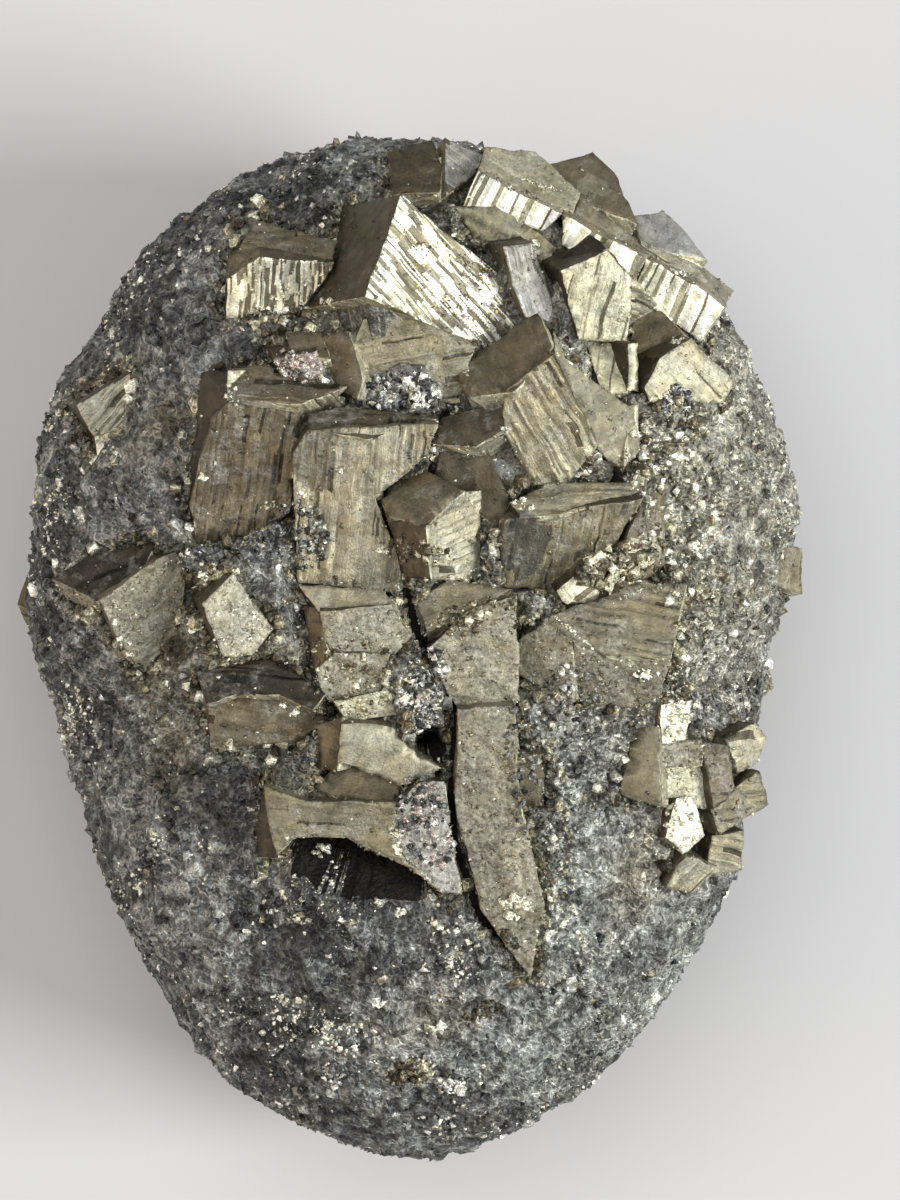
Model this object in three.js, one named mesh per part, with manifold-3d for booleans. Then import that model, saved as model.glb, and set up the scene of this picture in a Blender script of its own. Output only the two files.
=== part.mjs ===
// A marcasite nodule: an egg-shaped lump of fine-grained grey iron sulphide with pale brassy crystals grown
// into it. The biggest crystals crowd the upper side.
// Millimetres, +Z up. The nodule lies on its flattened belly with its length along Y, and the origin is at
// the level of the belly, under the middle of the nodule.
import * as THREE from "three";
import { ImprovedNoise } from "three/addons/math/ImprovedNoise.js";
import { mergeVertices } from "three/addons/utils/BufferGeometryUtils.js";
import Module from "manifold-3d";

const wasm = await Module();
wasm.setup();

// ---- Driving dimensions ----

// How far the grey body reaches from the middle in plan, every 15 degrees anticlockwise from +X.
const REACH = [
  22.0, 24.9, 26.5, 28.5, 29.3, 30.7, 31.5, 31.6, 30.0, 27.8, 26.3, 24.6,
  23.4, 21.8, 22.7, 24.7, 27.6, 30.4, 31.9, 30.3, 28.2, 25.5, 23.8, 21.7,
];
const WAIST = 15; // height of the widest level
const CROWN = 17; // rise of the body above the waist
const BELLY = 16; // fall of the body below the waist, before the belly is flattened at Z = 0
const FULLNESS = 2.5; // 2 is an ellipsoid, more is boxier
const SKIN_DETAIL = 8; // splits of each edge of the icosahedron that the body's skin is made from
const LUMPS = { height: 0.7, spacing: 8 };
const GRAINS = { height: 0.45, spacing: 2.4 };
const GAP = 0.3; // left between a crystal and its socket
const OPENING = 7; // how far a socket is cleared above the crystal in it
const DEPTH = 7; // how far a crystal reaches behind its shown face, where its row does not say
const BED = 2.6; // depth under the skin at which the crystals' roots end
const BED_DETAIL = 3; // splits of each edge of the icosahedron that this smooth bed is made from
const FLANK_DEPTH = 3.2; // how far a flank crystal reaches behind its face
const LONGEST_MITER = 3; // limits how far a sharp corner moves when an outline is widened

const MEAN_REACH = REACH.reduce((sum, reach) => sum + reach) / REACH.length;

const MATRIX_GREY = { color: 0x4a4d50, roughness: 0.5, metalness: 0.6 };
const CRYSTAL_BRASS = { color: 0x9a8f74, roughness: 0.3, metalness: 0.9 };

// ---- The crystals ----

// Each crystal is a prism behind one flat face. Its row holds the height of the middle of that face, the way
// the face leans (towards which direction in plan, and by how many degrees), the corners of the face in plan
// and, where it differs, the prism's depth.
const crystal = (z, lean, corners, depth = DEPTH) => ({ z, lean, corners, depth });

const CRYSTALS = {
  right_crystal_cluster: [
    // the bright striated block at the top
    crystal(29.6, [6, 32], [[-0.5, 27], [6.9, 21.3], [6.8, 19.6], [4.8, 17.9], [-2.6, 20.8]]),
    // the top rim
    crystal(25.6, [105, 36], [[-1.3, 30.3], [1.3, 30.8], [2, 29], [1.8, 27.3], [-1, 27.3]]),
    crystal(25.4, [45, 38], [[2.1, 30.9], [4.6, 29.8], [3.6, 28.2], [2.2, 27.2]]),
    crystal(24.8, [62, 40], [[4.6, 30.3], [7.6, 30.3], [10.3, 27.6], [9.8, 26.2], [4.2, 28.9]]),
    crystal(20.9, [62, 44], [[8.3, 29.6], [11.3, 30.6], [12.6, 29.2], [13.9, 25.9], [10.3, 27.2]]),
    crystal(24.6, [60, 38], [[10.2, 27.3], [13.4, 25.2], [14.5, 23.7], [9.7, 26.1]]),
    crystal(23.6, [52, 40], [[13.9, 24.9], [17.5, 23.3], [19.2, 21], [14.3, 23.4]]),
    crystal(19.7, [56, 46], [[13.8, 26.6], [15.4, 27.1], [16.8, 26.1], [18.2, 23.7], [14, 24.6]]),
    // the long striated ridge behind it
    crystal(27.2, [-118, 12], [[4.1, 28.6], [9.1, 26.1], [8, 25], [3.2, 26.6]]),
    crystal(27, [-118, 12], [[9.1, 26.1], [14.2, 23.5], [13.4, 21.8], [9.1, 24.3]]),
    crystal(25.6, [-122, 14], [[14.2, 23.5], [17.3, 21.9], [19, 20.6], [17.6, 18.5], [13.5, 21.3]]),
    // the plates between the block and the ridge
    crystal(26.9, [-110, 10], [[2.6, 26.6], [5.3, 26.6], [8.9, 24.1], [8.2, 23.2], [4.1, 24.1]]),
    crystal(28.9, [-25, 22], [[5.5, 23.9], [7.5, 24.3], [8.6, 20.8], [8.4, 19.6], [6.9, 19.9]]),
    crystal(28.7, [135, 46], [[8.8, 23.2], [10.8, 24.9], [11.8, 23.9], [9.8, 22.5]]),
    crystal(28.8, [-45, 24], [[9, 22.5], [11.8, 23.8], [13.3, 22.2], [13.1, 18.3], [10, 18.5]]),
    crystal(25.6, [140, 25], [[13.5, 21], [15.2, 20.4], [16.6, 18.8], [14.4, 17.2], [13.4, 17.4]]),
    crystal(27.8, [80, 22], [[10.4, 18.5], [13.2, 18.4], [13.1, 15.4], [11.6, 15.2]]),
    crystal(28.4, [-20, 35], [[13.1, 18.1], [13.7, 18.2], [13.7, 15.4], [13, 15.4]], 3),
    crystal(27.4, [-20, 26], [[14, 15.6], [15, 17.4], [17, 18.7], [19.6, 16.1], [19, 14.8], [14.3, 14.7]]),
    // the dark lens-shaped face, and the big striated block it belongs to
    crystal(30.9, [125, 36], [[2.8, 16.2], [4.2, 17.8], [7.6, 20], [8.6, 17.8], [6.2, 15.1], [3.4, 15]]),
    crystal(31, [-85, 20], [[5.6, 15.3], [8.7, 17.4], [11.3, 12.2], [9.4, 9.7], [7.4, 9.8], [5.6, 12.7]]),
    crystal(30.5, [-25, 28], [[8.6, 17.4], [13.2, 14.4], [13.7, 12.5], [12.7, 10.6], [11.1, 12.1]]),
    crystal(29.4, [-5, 50], [[13, 14.5], [13.7, 14.6], [13.9, 12], [12.8, 10.8]], 3),
    // the dark facets left of it
    crystal(31, [118, 24], [[1.1, 12.3], [2, 13.9], [5.6, 14.8], [5.7, 13], [4, 12]]),
    crystal(29.4, [100, 20], [[4.2, 12.5], [6.2, 12.5], [7.6, 9.9], [4.9, 10.2]]),
    crystal(30.3, [60, 12], [[1.8, 12.1], [4.5, 12.4], [6.1, 8.8], [5.3, 7], [1.6, 10.4]]),
    // the box whose corner stands up at the middle: its pale face, its upper face and its left face
    crystal(31.4, [-17, 42], [[1, 7.3], [3.5, 9.4], [4.3, 9.4], [4.2, 4.2], [1.4, 4]], 4),
    crystal(32, [108, 36], [[1, 7.3], [3.4, 9.4], [0.9, 10.7], [-1.7, 8.9], [-1.2, 7.8]], 4),
    crystal(32.3, [200, 38], [[1, 7.3], [1.4, 4], [-0.2, 4.2], [-1.7, 8.7], [-1.2, 7.8]], 4),
    // the roof-like blocks right of the box
    crystal(30.7, [88, 34], [[6, 8.7], [8.2, 9.9], [14, 9.9], [13.7, 8.9], [8.8, 7.9], [6.6, 7.9]]),
    crystal(30.2, [-80, 26], [[5.3, 7.6], [8.8, 8.1], [13.8, 9], [11.9, 5.6], [8, 2.8], [5.6, 3.6]]),
    crystal(30, [-15, 20], [[14, 11.1], [15.2, 10.2], [15.2, 5], [13.9, 4], [12.4, 5.3], [13.8, 9]]),
    crystal(30.2, [-60, 24], [[8.7, 3.4], [10.5, 5.2], [11.9, 5.7], [11.1, 2.8], [9.3, 2.6]], 4),
    crystal(29.7, [160, 30], [[11.1, 5.2], [11.9, 4.7], [12.5, 3.4], [11.1, 2.8]], 4),
    crystal(29.9, [-40, 16], [[11.9, 5.6], [14, 4.1], [13.5, 2.6], [11.8, 3.2]], 4),
    crystal(30.7, [85, 18], [[7.8, 1.7], [13.6, 4], [16.5, 4], [15.5, -0.5], [11.6, -0.5]]),
    crystal(30.4, [-85, 28], [
      [9.8, 0.4], [11.4, -0.4], [15.5, -0.4], [14.9, -2.8], [13.4, -3.5], [9.6, -3.2],
    ]),
    crystal(30.8, [200, 20], [[6.5, 0.6], [7.9, 1.6], [9.7, 0.6], [9.7, -3.1], [6.5, -1.5]]),
    crystal(31.6, [-60, 8], [[1.1, 0], [3.5, 2.4], [6.3, 3.2], [6.6, -3], [5.6, -3.6], [2.8, -3.4]]),
    crystal(31.5, [100, 24], [[0.5, 2.8], [2.4, 4.2], [6.1, 3.6], [3.4, 2.1], [0.9, 1.4]]),
    // between the bright block and the tall blocks
    crystal(30.4, [-85, 12], [
      [-3.5, 17.4], [-2.7, 19.6], [-0.7, 20.3], [3.9, 18], [3, 14.7], [1.8, 14.7], [0.6, 16.8], [-2.7, 16],
    ]),
    crystal(30.4, [-90, 8], [[-3, 15.2], [-0.7, 17], [1, 16.9], [1.9, 14.2], [-1, 13.8]], 4),
    crystal(30.5, [172, 32], [[-5.4, 18.7], [-3.5, 18.9], [-2.7, 16], [-3, 14.7], [-4.3, 15.5]]),
    crystal(30.3, [-60, 28], [[-7.9, 17.2], [-5.5, 17.8], [-4.6, 15.8], [-7.7, 16.2]], 4),
    crystal(29.9, [100, 30], [[-7.4, 18.9], [-5.3, 19], [-4.6, 17.2], [-7.1, 17.7]], 4),
    // the long tongue that tapers down the lower half
    crystal(31.4, [-85, 9], [
      [2.8, -3.4], [6.2, -3.2], [6.6, -9], [8, -15.1], [7.2, -19.6], [4.2, -15.4], [2.7, -9],
    ]),
    crystal(31.2, [-30, 15], [[6.3, -6.1], [7.8, -6.1], [8.1, -9.2], [6.5, -9.2]], 4),
  ],
  tall_crystals: [
    // the two tall striated blocks, each with a lens-shaped top, the outer one with a dark side
    crystal(30.7, [-82, 18], [
      [-11.8, 13.5], [-10, 15], [-6.4, 14.5], [-7.2, 8.2], [-8.9, 6.8], [-12.7, 6.2], [-13, 8.7],
    ]),
    crystal(30.5, [178, 44], [
      [-12.4, 16.4], [-10.6, 16.6], [-10.8, 14.7], [-12.3, 11.7], [-12.8, 7.2], [-13.3, 8.4],
    ]),
    crystal(31.4, [85, 38], [[-10.7, 16.7], [-8.6, 16.8], [-3.6, 15.5], [-6.6, 14.4], [-10.6, 14.7]]),
    crystal(32, [88, 38], [[-6, 14], [-3.5, 14.5], [1.7, 13.6], [-2.4, 12.4], [-6, 12.9]]),
    crystal(31.6, [-85, 14], [
      [-7, 11.5], [-6, 12.9], [1.8, 13.3], [1, 11.4], [-1.6, 9.2], [-0.4, 4.2], [-0.9, 3.3], [-6.6, 3.9],
    ]),
  ],
  left_crystal_cluster: [
    // the smaller blocks below the tall ones
    crystal(31.5, [95, 28], [[-6.6, 3.8], [-1.6, 3.6], [-0.4, 2.3], [-5.4, 2.3]], 4),
    crystal(31.7, [-80, 16], [[-5.3, 2.4], [-1, 2.6], [0.2, 0.9], [-0.8, -0.3], [-4.7, -0.1]]),
    crystal(31.2, [190, 42], [[-6.3, 2.5], [-5.2, 2.5], [-4.8, -0.5], [-5.6, -1.2]]),
    crystal(31.3, [-85, 14], [[-5.5, -1.1], [-4.4, -0.1], [-1.1, -0.2], [-2.2, -3.6], [-4.8, -3.1]]),
    crystal(31.3, [-60, 10], [[-4.4, -3], [-1.3, -2.3], [-0.5, -4], [-3.7, -4.2]]),
    // the terraced crystal: an upper step with a raised lip, a lower step, and the column at its right end
    crystal(31.1, [95, 22], [
      [-12.6, -1.3], [-8, -0.5], [-4.8, -2.5], [-5.6, -3.5], [-7.7, -2.7], [-10.2, -2.7], [-12, -3.3],
    ]),
    crystal(30.3, [-85, 14], [
      [-12, -3.2], [-10.2, -2.6], [-7.7, -2.6], [-4.8, -4.1], [-6.6, -5.5], [-11.9, -6],
    ]),
    crystal(31.4, [190, 30], [[-5.4, -4.5], [-3.8, -3.9], [-4.2, -7.2], [-5.4, -7]]),
    // the arched crystal over its hollow: the block above it, the dark face between, the arch, its left end
    // and its druse
    crystal(31.8, [-70, 12], [
      [-3.9, -4.2], [-0.9, -4.5], [0.5, -6.3], [2.1, -7.1], [-0.5, -8.1], [-4.2, -6.6],
    ]),
    crystal(31.1, [95, 30], [[-5.6, -8.1], [-4.1, -6.4], [-0.5, -7.9], [0.2, -9], [-3.5, -9.2]]),
    crystal(32, [-80, 10], [
      [-8.5, -8], [-6, -9], [-0.6, -9], [-0.8, -11.6], [2, -14.5], [-1.6, -12.1], [-4, -11.4],
      [-7.9, -12.1],
    ], 4),
    crystal(31.2, [185, 44], [[-8.9, -9.1], [-8.4, -8], [-7.8, -12.2], [-9.1, -12.4]]),
    crystal(31.6, [-60, 12], [
      [-0.8, -9.2], [0.6, -7.9], [2.1, -7.8], [3.1, -14.6], [1.8, -14.4], [-0.9, -11.4],
    ]),
  ],
  pale_crystal: [
    crystal(31.7, [-30, 12], [[-12.3, 2.7], [-10.5, 4.6], [-8, 1.2], [-9.2, -0.4], [-11, -0.4]]),
  ],
  left_crystal: [
    crystal(28.1, [125, 30], [[-21.5, 4.3], [-19.2, 5.6], [-15, 6.5], [-16.5, 3.8], [-18.7, 2.8]]),
    crystal(28.5, [-40, 22], [
      [-18.4, 2.9], [-15, 5.4], [-13.2, 6], [-13.7, 1], [-15.9, -1.6], [-17.4, 0.6],
    ]),
  ],
  left_rim_crystal: [
    crystal(25.4, [-20, 8], [[-20.2, 14.6], [-16.9, 16.8], [-17.2, 13], [-19.2, 12.8]]),
    crystal(25, [-30, 15], [[-19.2, 13], [-17.4, 13.2], [-17.9, 10.9], [-18.6, 10.4]]),
  ],
  upper_left_crystal: [
    crystal(28, [98, 30], [[-11, 22.2], [-9.3, 25.9], [-4, 24.3], [-3.6, 23.1], [-8.9, 23.3]]),
    crystal(28.3, [-88, 24], [
      [-10.9, 22.2], [-8.9, 23.5], [-3.6, 22.9], [-4, 20.7], [-6.1, 20.2], [-10.9, 19.5],
    ]),
  ],
  right_edge_crystals: [
    crystal(29.9, [150, 14], [[13.4, -4.8], [14.9, -4.5], [15, -9.2], [12.5, -8.5]]),
    crystal(29.1, [-20, 20], [[14.8, -5.5], [17.6, -5.4], [17.6, -7], [15, -7.1]]),
    crystal(27.9, [0, 28], [[17.5, -5.6], [19.1, -5.8], [19.6, -8.6], [18.2, -9.6]]),
    crystal(25, [-10, 44], [[19, -5.5], [20.9, -4.5], [21.6, -5.4], [21.2, -6.9], [19.9, -7.6]]),
    crystal(25.6, [-10, 36], [[18.6, -11.2], [18.2, -9.7], [21.1, -7.3], [21.8, -9.5]]),
    crystal(25.3, [-25, 36], [[17.8, -13.9], [18.2, -11.2], [20.3, -11], [20.2, -13.4]]),
    crystal(28.5, [-5, 30], [[15.4, -11.2], [15.8, -8.9], [17, -8.9], [17.7, -11.2], [16.4, -12.1]]),
    crystal(29.3, [0, 24], [[15, -3.2], [16.9, -3], [16.6, -5.5], [15, -5.7]]),
    crystal(27.2, [-45, 26], [[15.3, -14.2], [16.5, -12.2], [18.5, -13.2], [17, -14.7]]),
    crystal(28, [-10, 20], [[14.9, -7], [17.7, -6.9], [18.5, -9.6], [15.4, -9.3]]),
  ],
  right_nub: [
    crystal(19.8, [5, 46], [[22, 4], [22.4, 6.3], [24.2, 6.2], [24.3, 3.3]]),
  ],
};

// Smaller crystals in pairs around the flanks and underneath: the direction from the middle of the body
// that the pair stands in (azimuth and elevation in degrees) and the length of its bigger crystal.
const FLANKS = {
  upper_back_crystals: { azimuth: 128, elevation: -16, length: 5.2 },
  left_flank_crystals: { azimuth: 172, elevation: -12, length: 4.6 },
  lower_left_crystals: { azimuth: 222, elevation: -24, length: 4 },
  lower_end_crystals: { azimuth: 274, elevation: -14, length: 5 },
  lower_right_crystals: { azimuth: 314, elevation: -22, length: 4.2 },
  right_flank_crystals: { azimuth: 352, elevation: -24, length: 5.4 },
  upper_right_crystals: { azimuth: 34, elevation: -24, length: 4.4 },
  top_end_crystals: { azimuth: 82, elevation: -20, length: 4.8 },
};
// The two crystals of a pair: how far each is set off from the pair's middle in lengths, the way it is set
// off and turned, its tilt, how far it stands out of the skin, and the outline of its face in half-lengths.
const FLANK_ROWS = [
  {
    off: 0, turn: 20, tilt: 16, rise: 1,
    outline: [[-1, -0.7], [0.7, -0.8], [1, 0.1], [0.4, 0.8], [-0.9, 0.6]],
  },
  {
    off: 0.6, turn: 150, tilt: 34, rise: 0.8,
    outline: [[-0.7, -0.5], [0.6, -0.6], [0.7, 0.5], [-0.6, 0.5]],
  },
];

// Where the matrix has opened: flat-floored hollows, by the height of the floor and the corners in plan.
const HOLLOWS = [
  { floor: 28.2, corners: [[-7.8, -12], [-6.6, -11], [-3.6, -11], [0.3, -13], [1.7, -14.2], [-3.6, -13.6]] },
  { floor: 28.4, corners: [[0.5, -5], [2.1, -5.1], [1.9, -6.5], [0.7, -6.3]] },
];

// ---- The grey body ----

const noise = new ImprovedNoise();
const ripple = (p, { height, spacing }) =>
  height * noise.noise(p.x / spacing, p.y / spacing, p.z / spacing);

// The plan reach in any direction, a smooth closed curve through REACH.
function reachAt(angle) {
  const step = (2 * Math.PI) / REACH.length;
  const turns = ((angle / step) % REACH.length + REACH.length) % REACH.length;
  const i = Math.floor(turns);
  const t = turns - i;
  const [a, b, c, d] = [-1, 0, 1, 2].map((k) => REACH[(i + k + REACH.length) % REACH.length]);
  return b + 0.5 * t * (c - a + t * (2 * a - 5 * b + 4 * c - d + t * (3 * (b - c) + d - a)));
}

// The smooth body's point in a direction from its centre.
function bodyPoint(direction) {
  const along = Math.hypot(direction.x, direction.y);
  const reach = reachAt(Math.atan2(direction.y, direction.x));
  const depth = direction.z > 0 ? CROWN : BELLY;
  const sum = (along / reach) ** FULLNESS + (Math.abs(direction.z) / depth) ** FULLNESS;
  return direction.clone().multiplyScalar(sum ** (-1 / FULLNESS));
}

// The body as a closed ball of triangles, with every point moved out from the centre by a height.
function bodyShell(detail, heightAt) {
  const geometry = new THREE.IcosahedronGeometry(1, detail);
  const corners = geometry.getAttribute("position");
  const flattened = new THREE.Vector3(MEAN_REACH, MEAN_REACH, WAIST);
  for (let i = 0; i < corners.count; i++) {
    const direction = new THREE.Vector3().fromBufferAttribute(corners, i).multiply(flattened).normalize();
    const p = bodyPoint(direction);
    p.addScaledVector(direction, heightAt(p));
    corners.setXYZ(i, p.x, p.y, p.z + WAIST);
  }
  return solidOf(geometry);
}

function bodySolid() {
  const width = 4 * MEAN_REACH;
  const under = new THREE.BoxGeometry(width, width, BELLY).translate(0, 0, -BELLY / 2);
  const rough = bodyShell(SKIN_DETAIL, (p) => ripple(p, LUMPS) + ripple(p, GRAINS));
  return rough.subtract(solidOf(under));
}

// ---- Solids ----

function solidOf(geometry) {
  const plain = new THREE.BufferGeometry().setAttribute("position", geometry.getAttribute("position"));
  plain.setIndex(geometry.index);
  const merged = mergeVertices(plain, 1e-3);
  const mesh = new wasm.Mesh({
    numProp: 3,
    vertProperties: merged.getAttribute("position").array,
    triVerts: new Uint32Array(merged.index.array),
  });
  return new wasm.Manifold(mesh);
}

// The solid as a geometry, keeping only its biggest shell, without the slivers that cuts leave beside it.
function geometryOf(solid) {
  const { vertProperties, triVerts } = solid.getMesh();
  const leader = Array.from({ length: vertProperties.length / 3 }, (_, i) => i);
  const leaderOf = (i) => {
    while (leader[i] !== i) i = leader[i] = leader[leader[i]];
    return i;
  };
  for (let t = 0; t < triVerts.length; t += 3) {
    leader[leaderOf(triVerts[t])] = leaderOf(triVerts[t + 1]);
    leader[leaderOf(triVerts[t + 2])] = leaderOf(triVerts[t + 1]);
  }
  const shells = new Map();
  for (const corner of triVerts) {
    const shell = leaderOf(corner);
    if (!shells.has(shell)) shells.set(shell, []);
    shells.get(shell).push(corner);
  }
  const biggest = [...shells.values()].sort((a, b) => b.length - a.length)[0];
  const geometry = new THREE.BufferGeometry();
  geometry.setAttribute("position", new THREE.BufferAttribute(vertProperties, 3));
  geometry.setIndex(biggest);
  const trimmed = mergeVertices(geometry, 1e-6);
  trimmed.computeVertexNormals();
  return trimmed;
}

const joined = (solids) => solids.reduce((all, next) => all.add(next));

// A flat outline moved outwards by a distance, with its corners kept sharp.
function widened(outline, by) {
  if (!by) return outline;
  return outline.map((corner, i) => {
    const before = outline[(i + outline.length - 1) % outline.length];
    const after = outline[(i + 1) % outline.length];
    const into = corner.clone().sub(before).normalize();
    const out = after.clone().sub(corner).normalize();
    const miter = new THREE.Vector2(into.y + out.y, -into.x - out.x);
    return corner.clone().addScaledVector(miter, by * Math.min(LONGEST_MITER, 2 / miter.lengthSq()));
  });
}

// A straight-sided solid between two levels.
function pillar(outline, bottom, top) {
  const shape = new THREE.Shape(outline);
  const geometry = new THREE.ExtrudeGeometry(shape, { depth: top - bottom, bevelEnabled: false });
  return geometry.translate(0, 0, bottom);
}

// One crystal. Its socket is the same solid grown all round, and its opening is the socket cleared upwards
// as well.
function crystalSolid({ z, lean, corners, depth }, grown = 0, cleared = 0) {
  const [towards, tip] = lean.map(THREE.MathUtils.degToRad);
  const plan = corners.map(([x, y]) => new THREE.Vector2(x, y));
  const middle = new THREE.Vector2();
  for (const corner of plan) middle.addScaledVector(corner, 1 / plan.length);
  // the corners in the plane of the face, with u down the lean
  const outline = plan.map((corner) => {
    const flat = corner.clone().sub(middle).rotateAround(new THREE.Vector2(), -towards);
    return flat.setX(flat.x / Math.cos(tip));
  });
  if (THREE.ShapeUtils.isClockWise(outline)) outline.reverse();
  const geometry = pillar(widened(outline, grown), -depth - grown, grown + cleared);
  geometry.rotateY(tip).rotateZ(towards).translate(middle.x, middle.y, z);
  return solidOf(geometry);
}

// One crystal of a flank group, set into the body's flank in the group's direction.
function flankSolid(place, { outline, off, turn, tilt, rise }, grown = 0, cleared = 0) {
  const { azimuth, elevation, length } = place;
  const [around, up, turned, tilted] = [azimuth, elevation, turn, tilt].map(THREE.MathUtils.degToRad);
  const flat = Math.cos(up);
  const foot = bodyPoint(new THREE.Vector3(flat * Math.cos(around), flat * Math.sin(around), Math.sin(up)));
  const half = length / 2;
  const corners = outline.map(([u, v]) => new THREE.Vector2(u * half, v * half));
  const geometry = pillar(widened(corners, grown), -FLANK_DEPTH - grown, grown + cleared);
  geometry.rotateY(tilted).translate(off * length, 0, rise).rotateZ(turned);
  // the group's own Z is turned to stand square to the skin
  const radii = new THREE.Vector3(MEAN_REACH, MEAN_REACH, BELLY);
  const square = foot.clone().divide(radii).divide(radii).normalize();
  const turnOut = new THREE.Quaternion().setFromUnitVectors(new THREE.Vector3(0, 0, 1), square);
  geometry.applyQuaternion(turnOut).translate(foot.x, foot.y, foot.z + WAIST);
  return solidOf(geometry);
}

function hollowSolid({ floor, corners }) {
  const outline = corners.map(([x, y]) => new THREE.Vector2(x, y));
  if (THREE.ShapeUtils.isClockWise(outline)) outline.reverse();
  return solidOf(pillar(outline, floor, floor + OPENING));
}

function mesh(name, solid, finish) {
  const made = new THREE.Mesh(geometryOf(solid), new THREE.MeshStandardMaterial(finish));
  made.name = name;
  return made;
}

// ---- The nodule ----

// Every group of crystals by name, as a function that makes its solids, its sockets or its opened sockets.
const groups = [];
const bed = bodyShell(BED_DETAIL, () => -BED);
const socketBed = bodyShell(BED_DETAIL, () => -BED - GAP);
for (const [name, rows] of Object.entries(CRYSTALS)) {
  const solidWith = (grown = 0, cleared = 0) =>
    joined(rows.map((row) => crystalSolid(row, grown, cleared))).subtract(grown ? socketBed : bed);
  groups.push({ name, solidWith });
}
for (const [name, place] of Object.entries(FLANKS)) {
  const solidWith = (grown = 0, cleared = 0) =>
    joined(FLANK_ROWS.map((row) => flankSolid(place, row, grown, cleared)));
  groups.push({ name, solidWith });
}

const nodule = new THREE.Group();
const hollows = joined(HOLLOWS.map(hollowSolid));
let matrix = bodySolid().subtract(hollows);
let sockets = null;
for (const { name, solidWith } of groups) {
  let crystals = solidWith().subtract(hollows);
  if (sockets) crystals = crystals.subtract(sockets);
  nodule.add(mesh(name, crystals, CRYSTAL_BRASS));
  sockets = sockets ? sockets.add(solidWith(GAP)) : solidWith(GAP);
  matrix = matrix.subtract(solidWith(GAP, OPENING));
}
nodule.add(mesh("matrix", matrix, MATRIX_GREY));

// the outlines above are drawn from the middle of the grey body, and the origin is the middle of the whole
const { x, y } = new THREE.Box3().setFromObject(nodule).getCenter(new THREE.Vector3());
nodule.position.set(-x, -y, 0);

export default nodule;
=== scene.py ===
"""The looks of the marcasite nodule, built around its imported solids.

Every solid is replaced by a finer mesh of its own shape: the crystals' flat facets get growth striations,
steps and worn edges, and the matrix becomes a skin of grains with small crystals strewn over it. Lengths are
in millimetres until a mesh is made, and the frame is the CAD's: +Z up, the length of the nodule along Y.
"""

import math
from typing import NamedTuple

import bpy
import numpy as np
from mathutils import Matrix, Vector
from mathutils.bvhtree import BVHTree
from mathutils.geometry import delaunay_2d_cdt


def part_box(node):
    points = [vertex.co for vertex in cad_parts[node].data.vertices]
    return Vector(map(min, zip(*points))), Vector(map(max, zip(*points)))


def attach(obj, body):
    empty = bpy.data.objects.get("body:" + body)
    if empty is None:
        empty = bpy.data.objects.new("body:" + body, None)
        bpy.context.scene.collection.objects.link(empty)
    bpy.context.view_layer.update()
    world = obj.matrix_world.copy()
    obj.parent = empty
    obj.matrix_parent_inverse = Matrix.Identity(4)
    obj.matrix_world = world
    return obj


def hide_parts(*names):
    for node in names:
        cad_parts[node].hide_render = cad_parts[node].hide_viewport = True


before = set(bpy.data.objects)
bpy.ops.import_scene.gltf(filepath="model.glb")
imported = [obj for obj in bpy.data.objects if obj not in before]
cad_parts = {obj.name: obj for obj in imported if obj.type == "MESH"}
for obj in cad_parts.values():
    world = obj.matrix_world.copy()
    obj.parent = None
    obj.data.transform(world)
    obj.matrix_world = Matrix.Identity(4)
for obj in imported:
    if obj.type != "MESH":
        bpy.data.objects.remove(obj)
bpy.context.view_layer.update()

MM = 0.001
RNG = np.random.default_rng(11)

# ---- Sizes ----

# The smooth skin of the matrix.
SKIN_SPLITS = 128  # splits of each edge of the icosahedron that the skin is made from
SKIN_BIAS = 0.2  # how far its triangles are crowded towards the top
SKIN_JITTER = 0.25  # how far its points are moved about, as a share of the distance between them
CONTACT = 0.6  # distance from a crystal within which it closes up to the crystal
CLOSING = 12  # rounds of growing and shrinking that close the sockets' mouths
SOCKET_EVENING = 220  # rounds of evening out that carry it over the sockets
SQUARE = 0.2  # cosine past which a facet faces outwards, so that it is bared
LEVEL = 0.6  # how far up the normal of a facet points that is bared wherever it is
SUNK = 0.8  # how far the filling between crystals lies under their facets
PACKING = 8  # rounds of growing and shrinking that fill the gaps between crystals
SKIN_EVENING = 3  # rounds of evening out that round it off where it fills gaps
SPLIT_HEIGHT = 4  # height over the middle where it is split into an upper and a lower piece

# Where the skin has to keep low.
COVER = 0.35  # how far it keeps under a facet that is bared
BANK = 0.22  # how fast it may rise away from such a facet, for each round
BANK_ROUNDS = 3  # rounds over which it is held back beside such a facet
UPWARD = 0.5  # how far up it has to face where it has a hollow or a crack
PIT_STEP = 0.2  # how finely the depth of a hollow is felt for
PIT_SHARE = 0.95  # share of a hollow's half-lengths within which it is painted near black, as shade
PIT_HEIGHT = 20  # height over which the hollows and the cracks are painted near black, as shade
CRACK_WIDTH = 0.5  # how wide the skin sinks along a crack
CRACK_DEPTH = 1.4  # how far it sinks

# The matrix's grains.
COARSE_GRAIN = 1.1  # spacing of the larger grains
FINE_GRAIN = 0.45  # spacing of the smaller grains
FLANK_RELIEF = 0.6  # share of the grains' height that the matrix keeps on its flanks, which are worn smoother
SUNK_RELIEF = 0.3  # share of it where the skin lies under a bared facet, in a hollow or in a crack
FLANK_HEIGHT = -2  # height over the middle under which the flanks lie, with fewer and smaller grains
CLEARANCE = 1.2  # height over the floor that a small crystal keeps, as a share of its size
CRUST_REACH = 1.3  # how far beside a crystal the matrix is brassier, with small crystals on it, and painted darker as shade close against it
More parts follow.
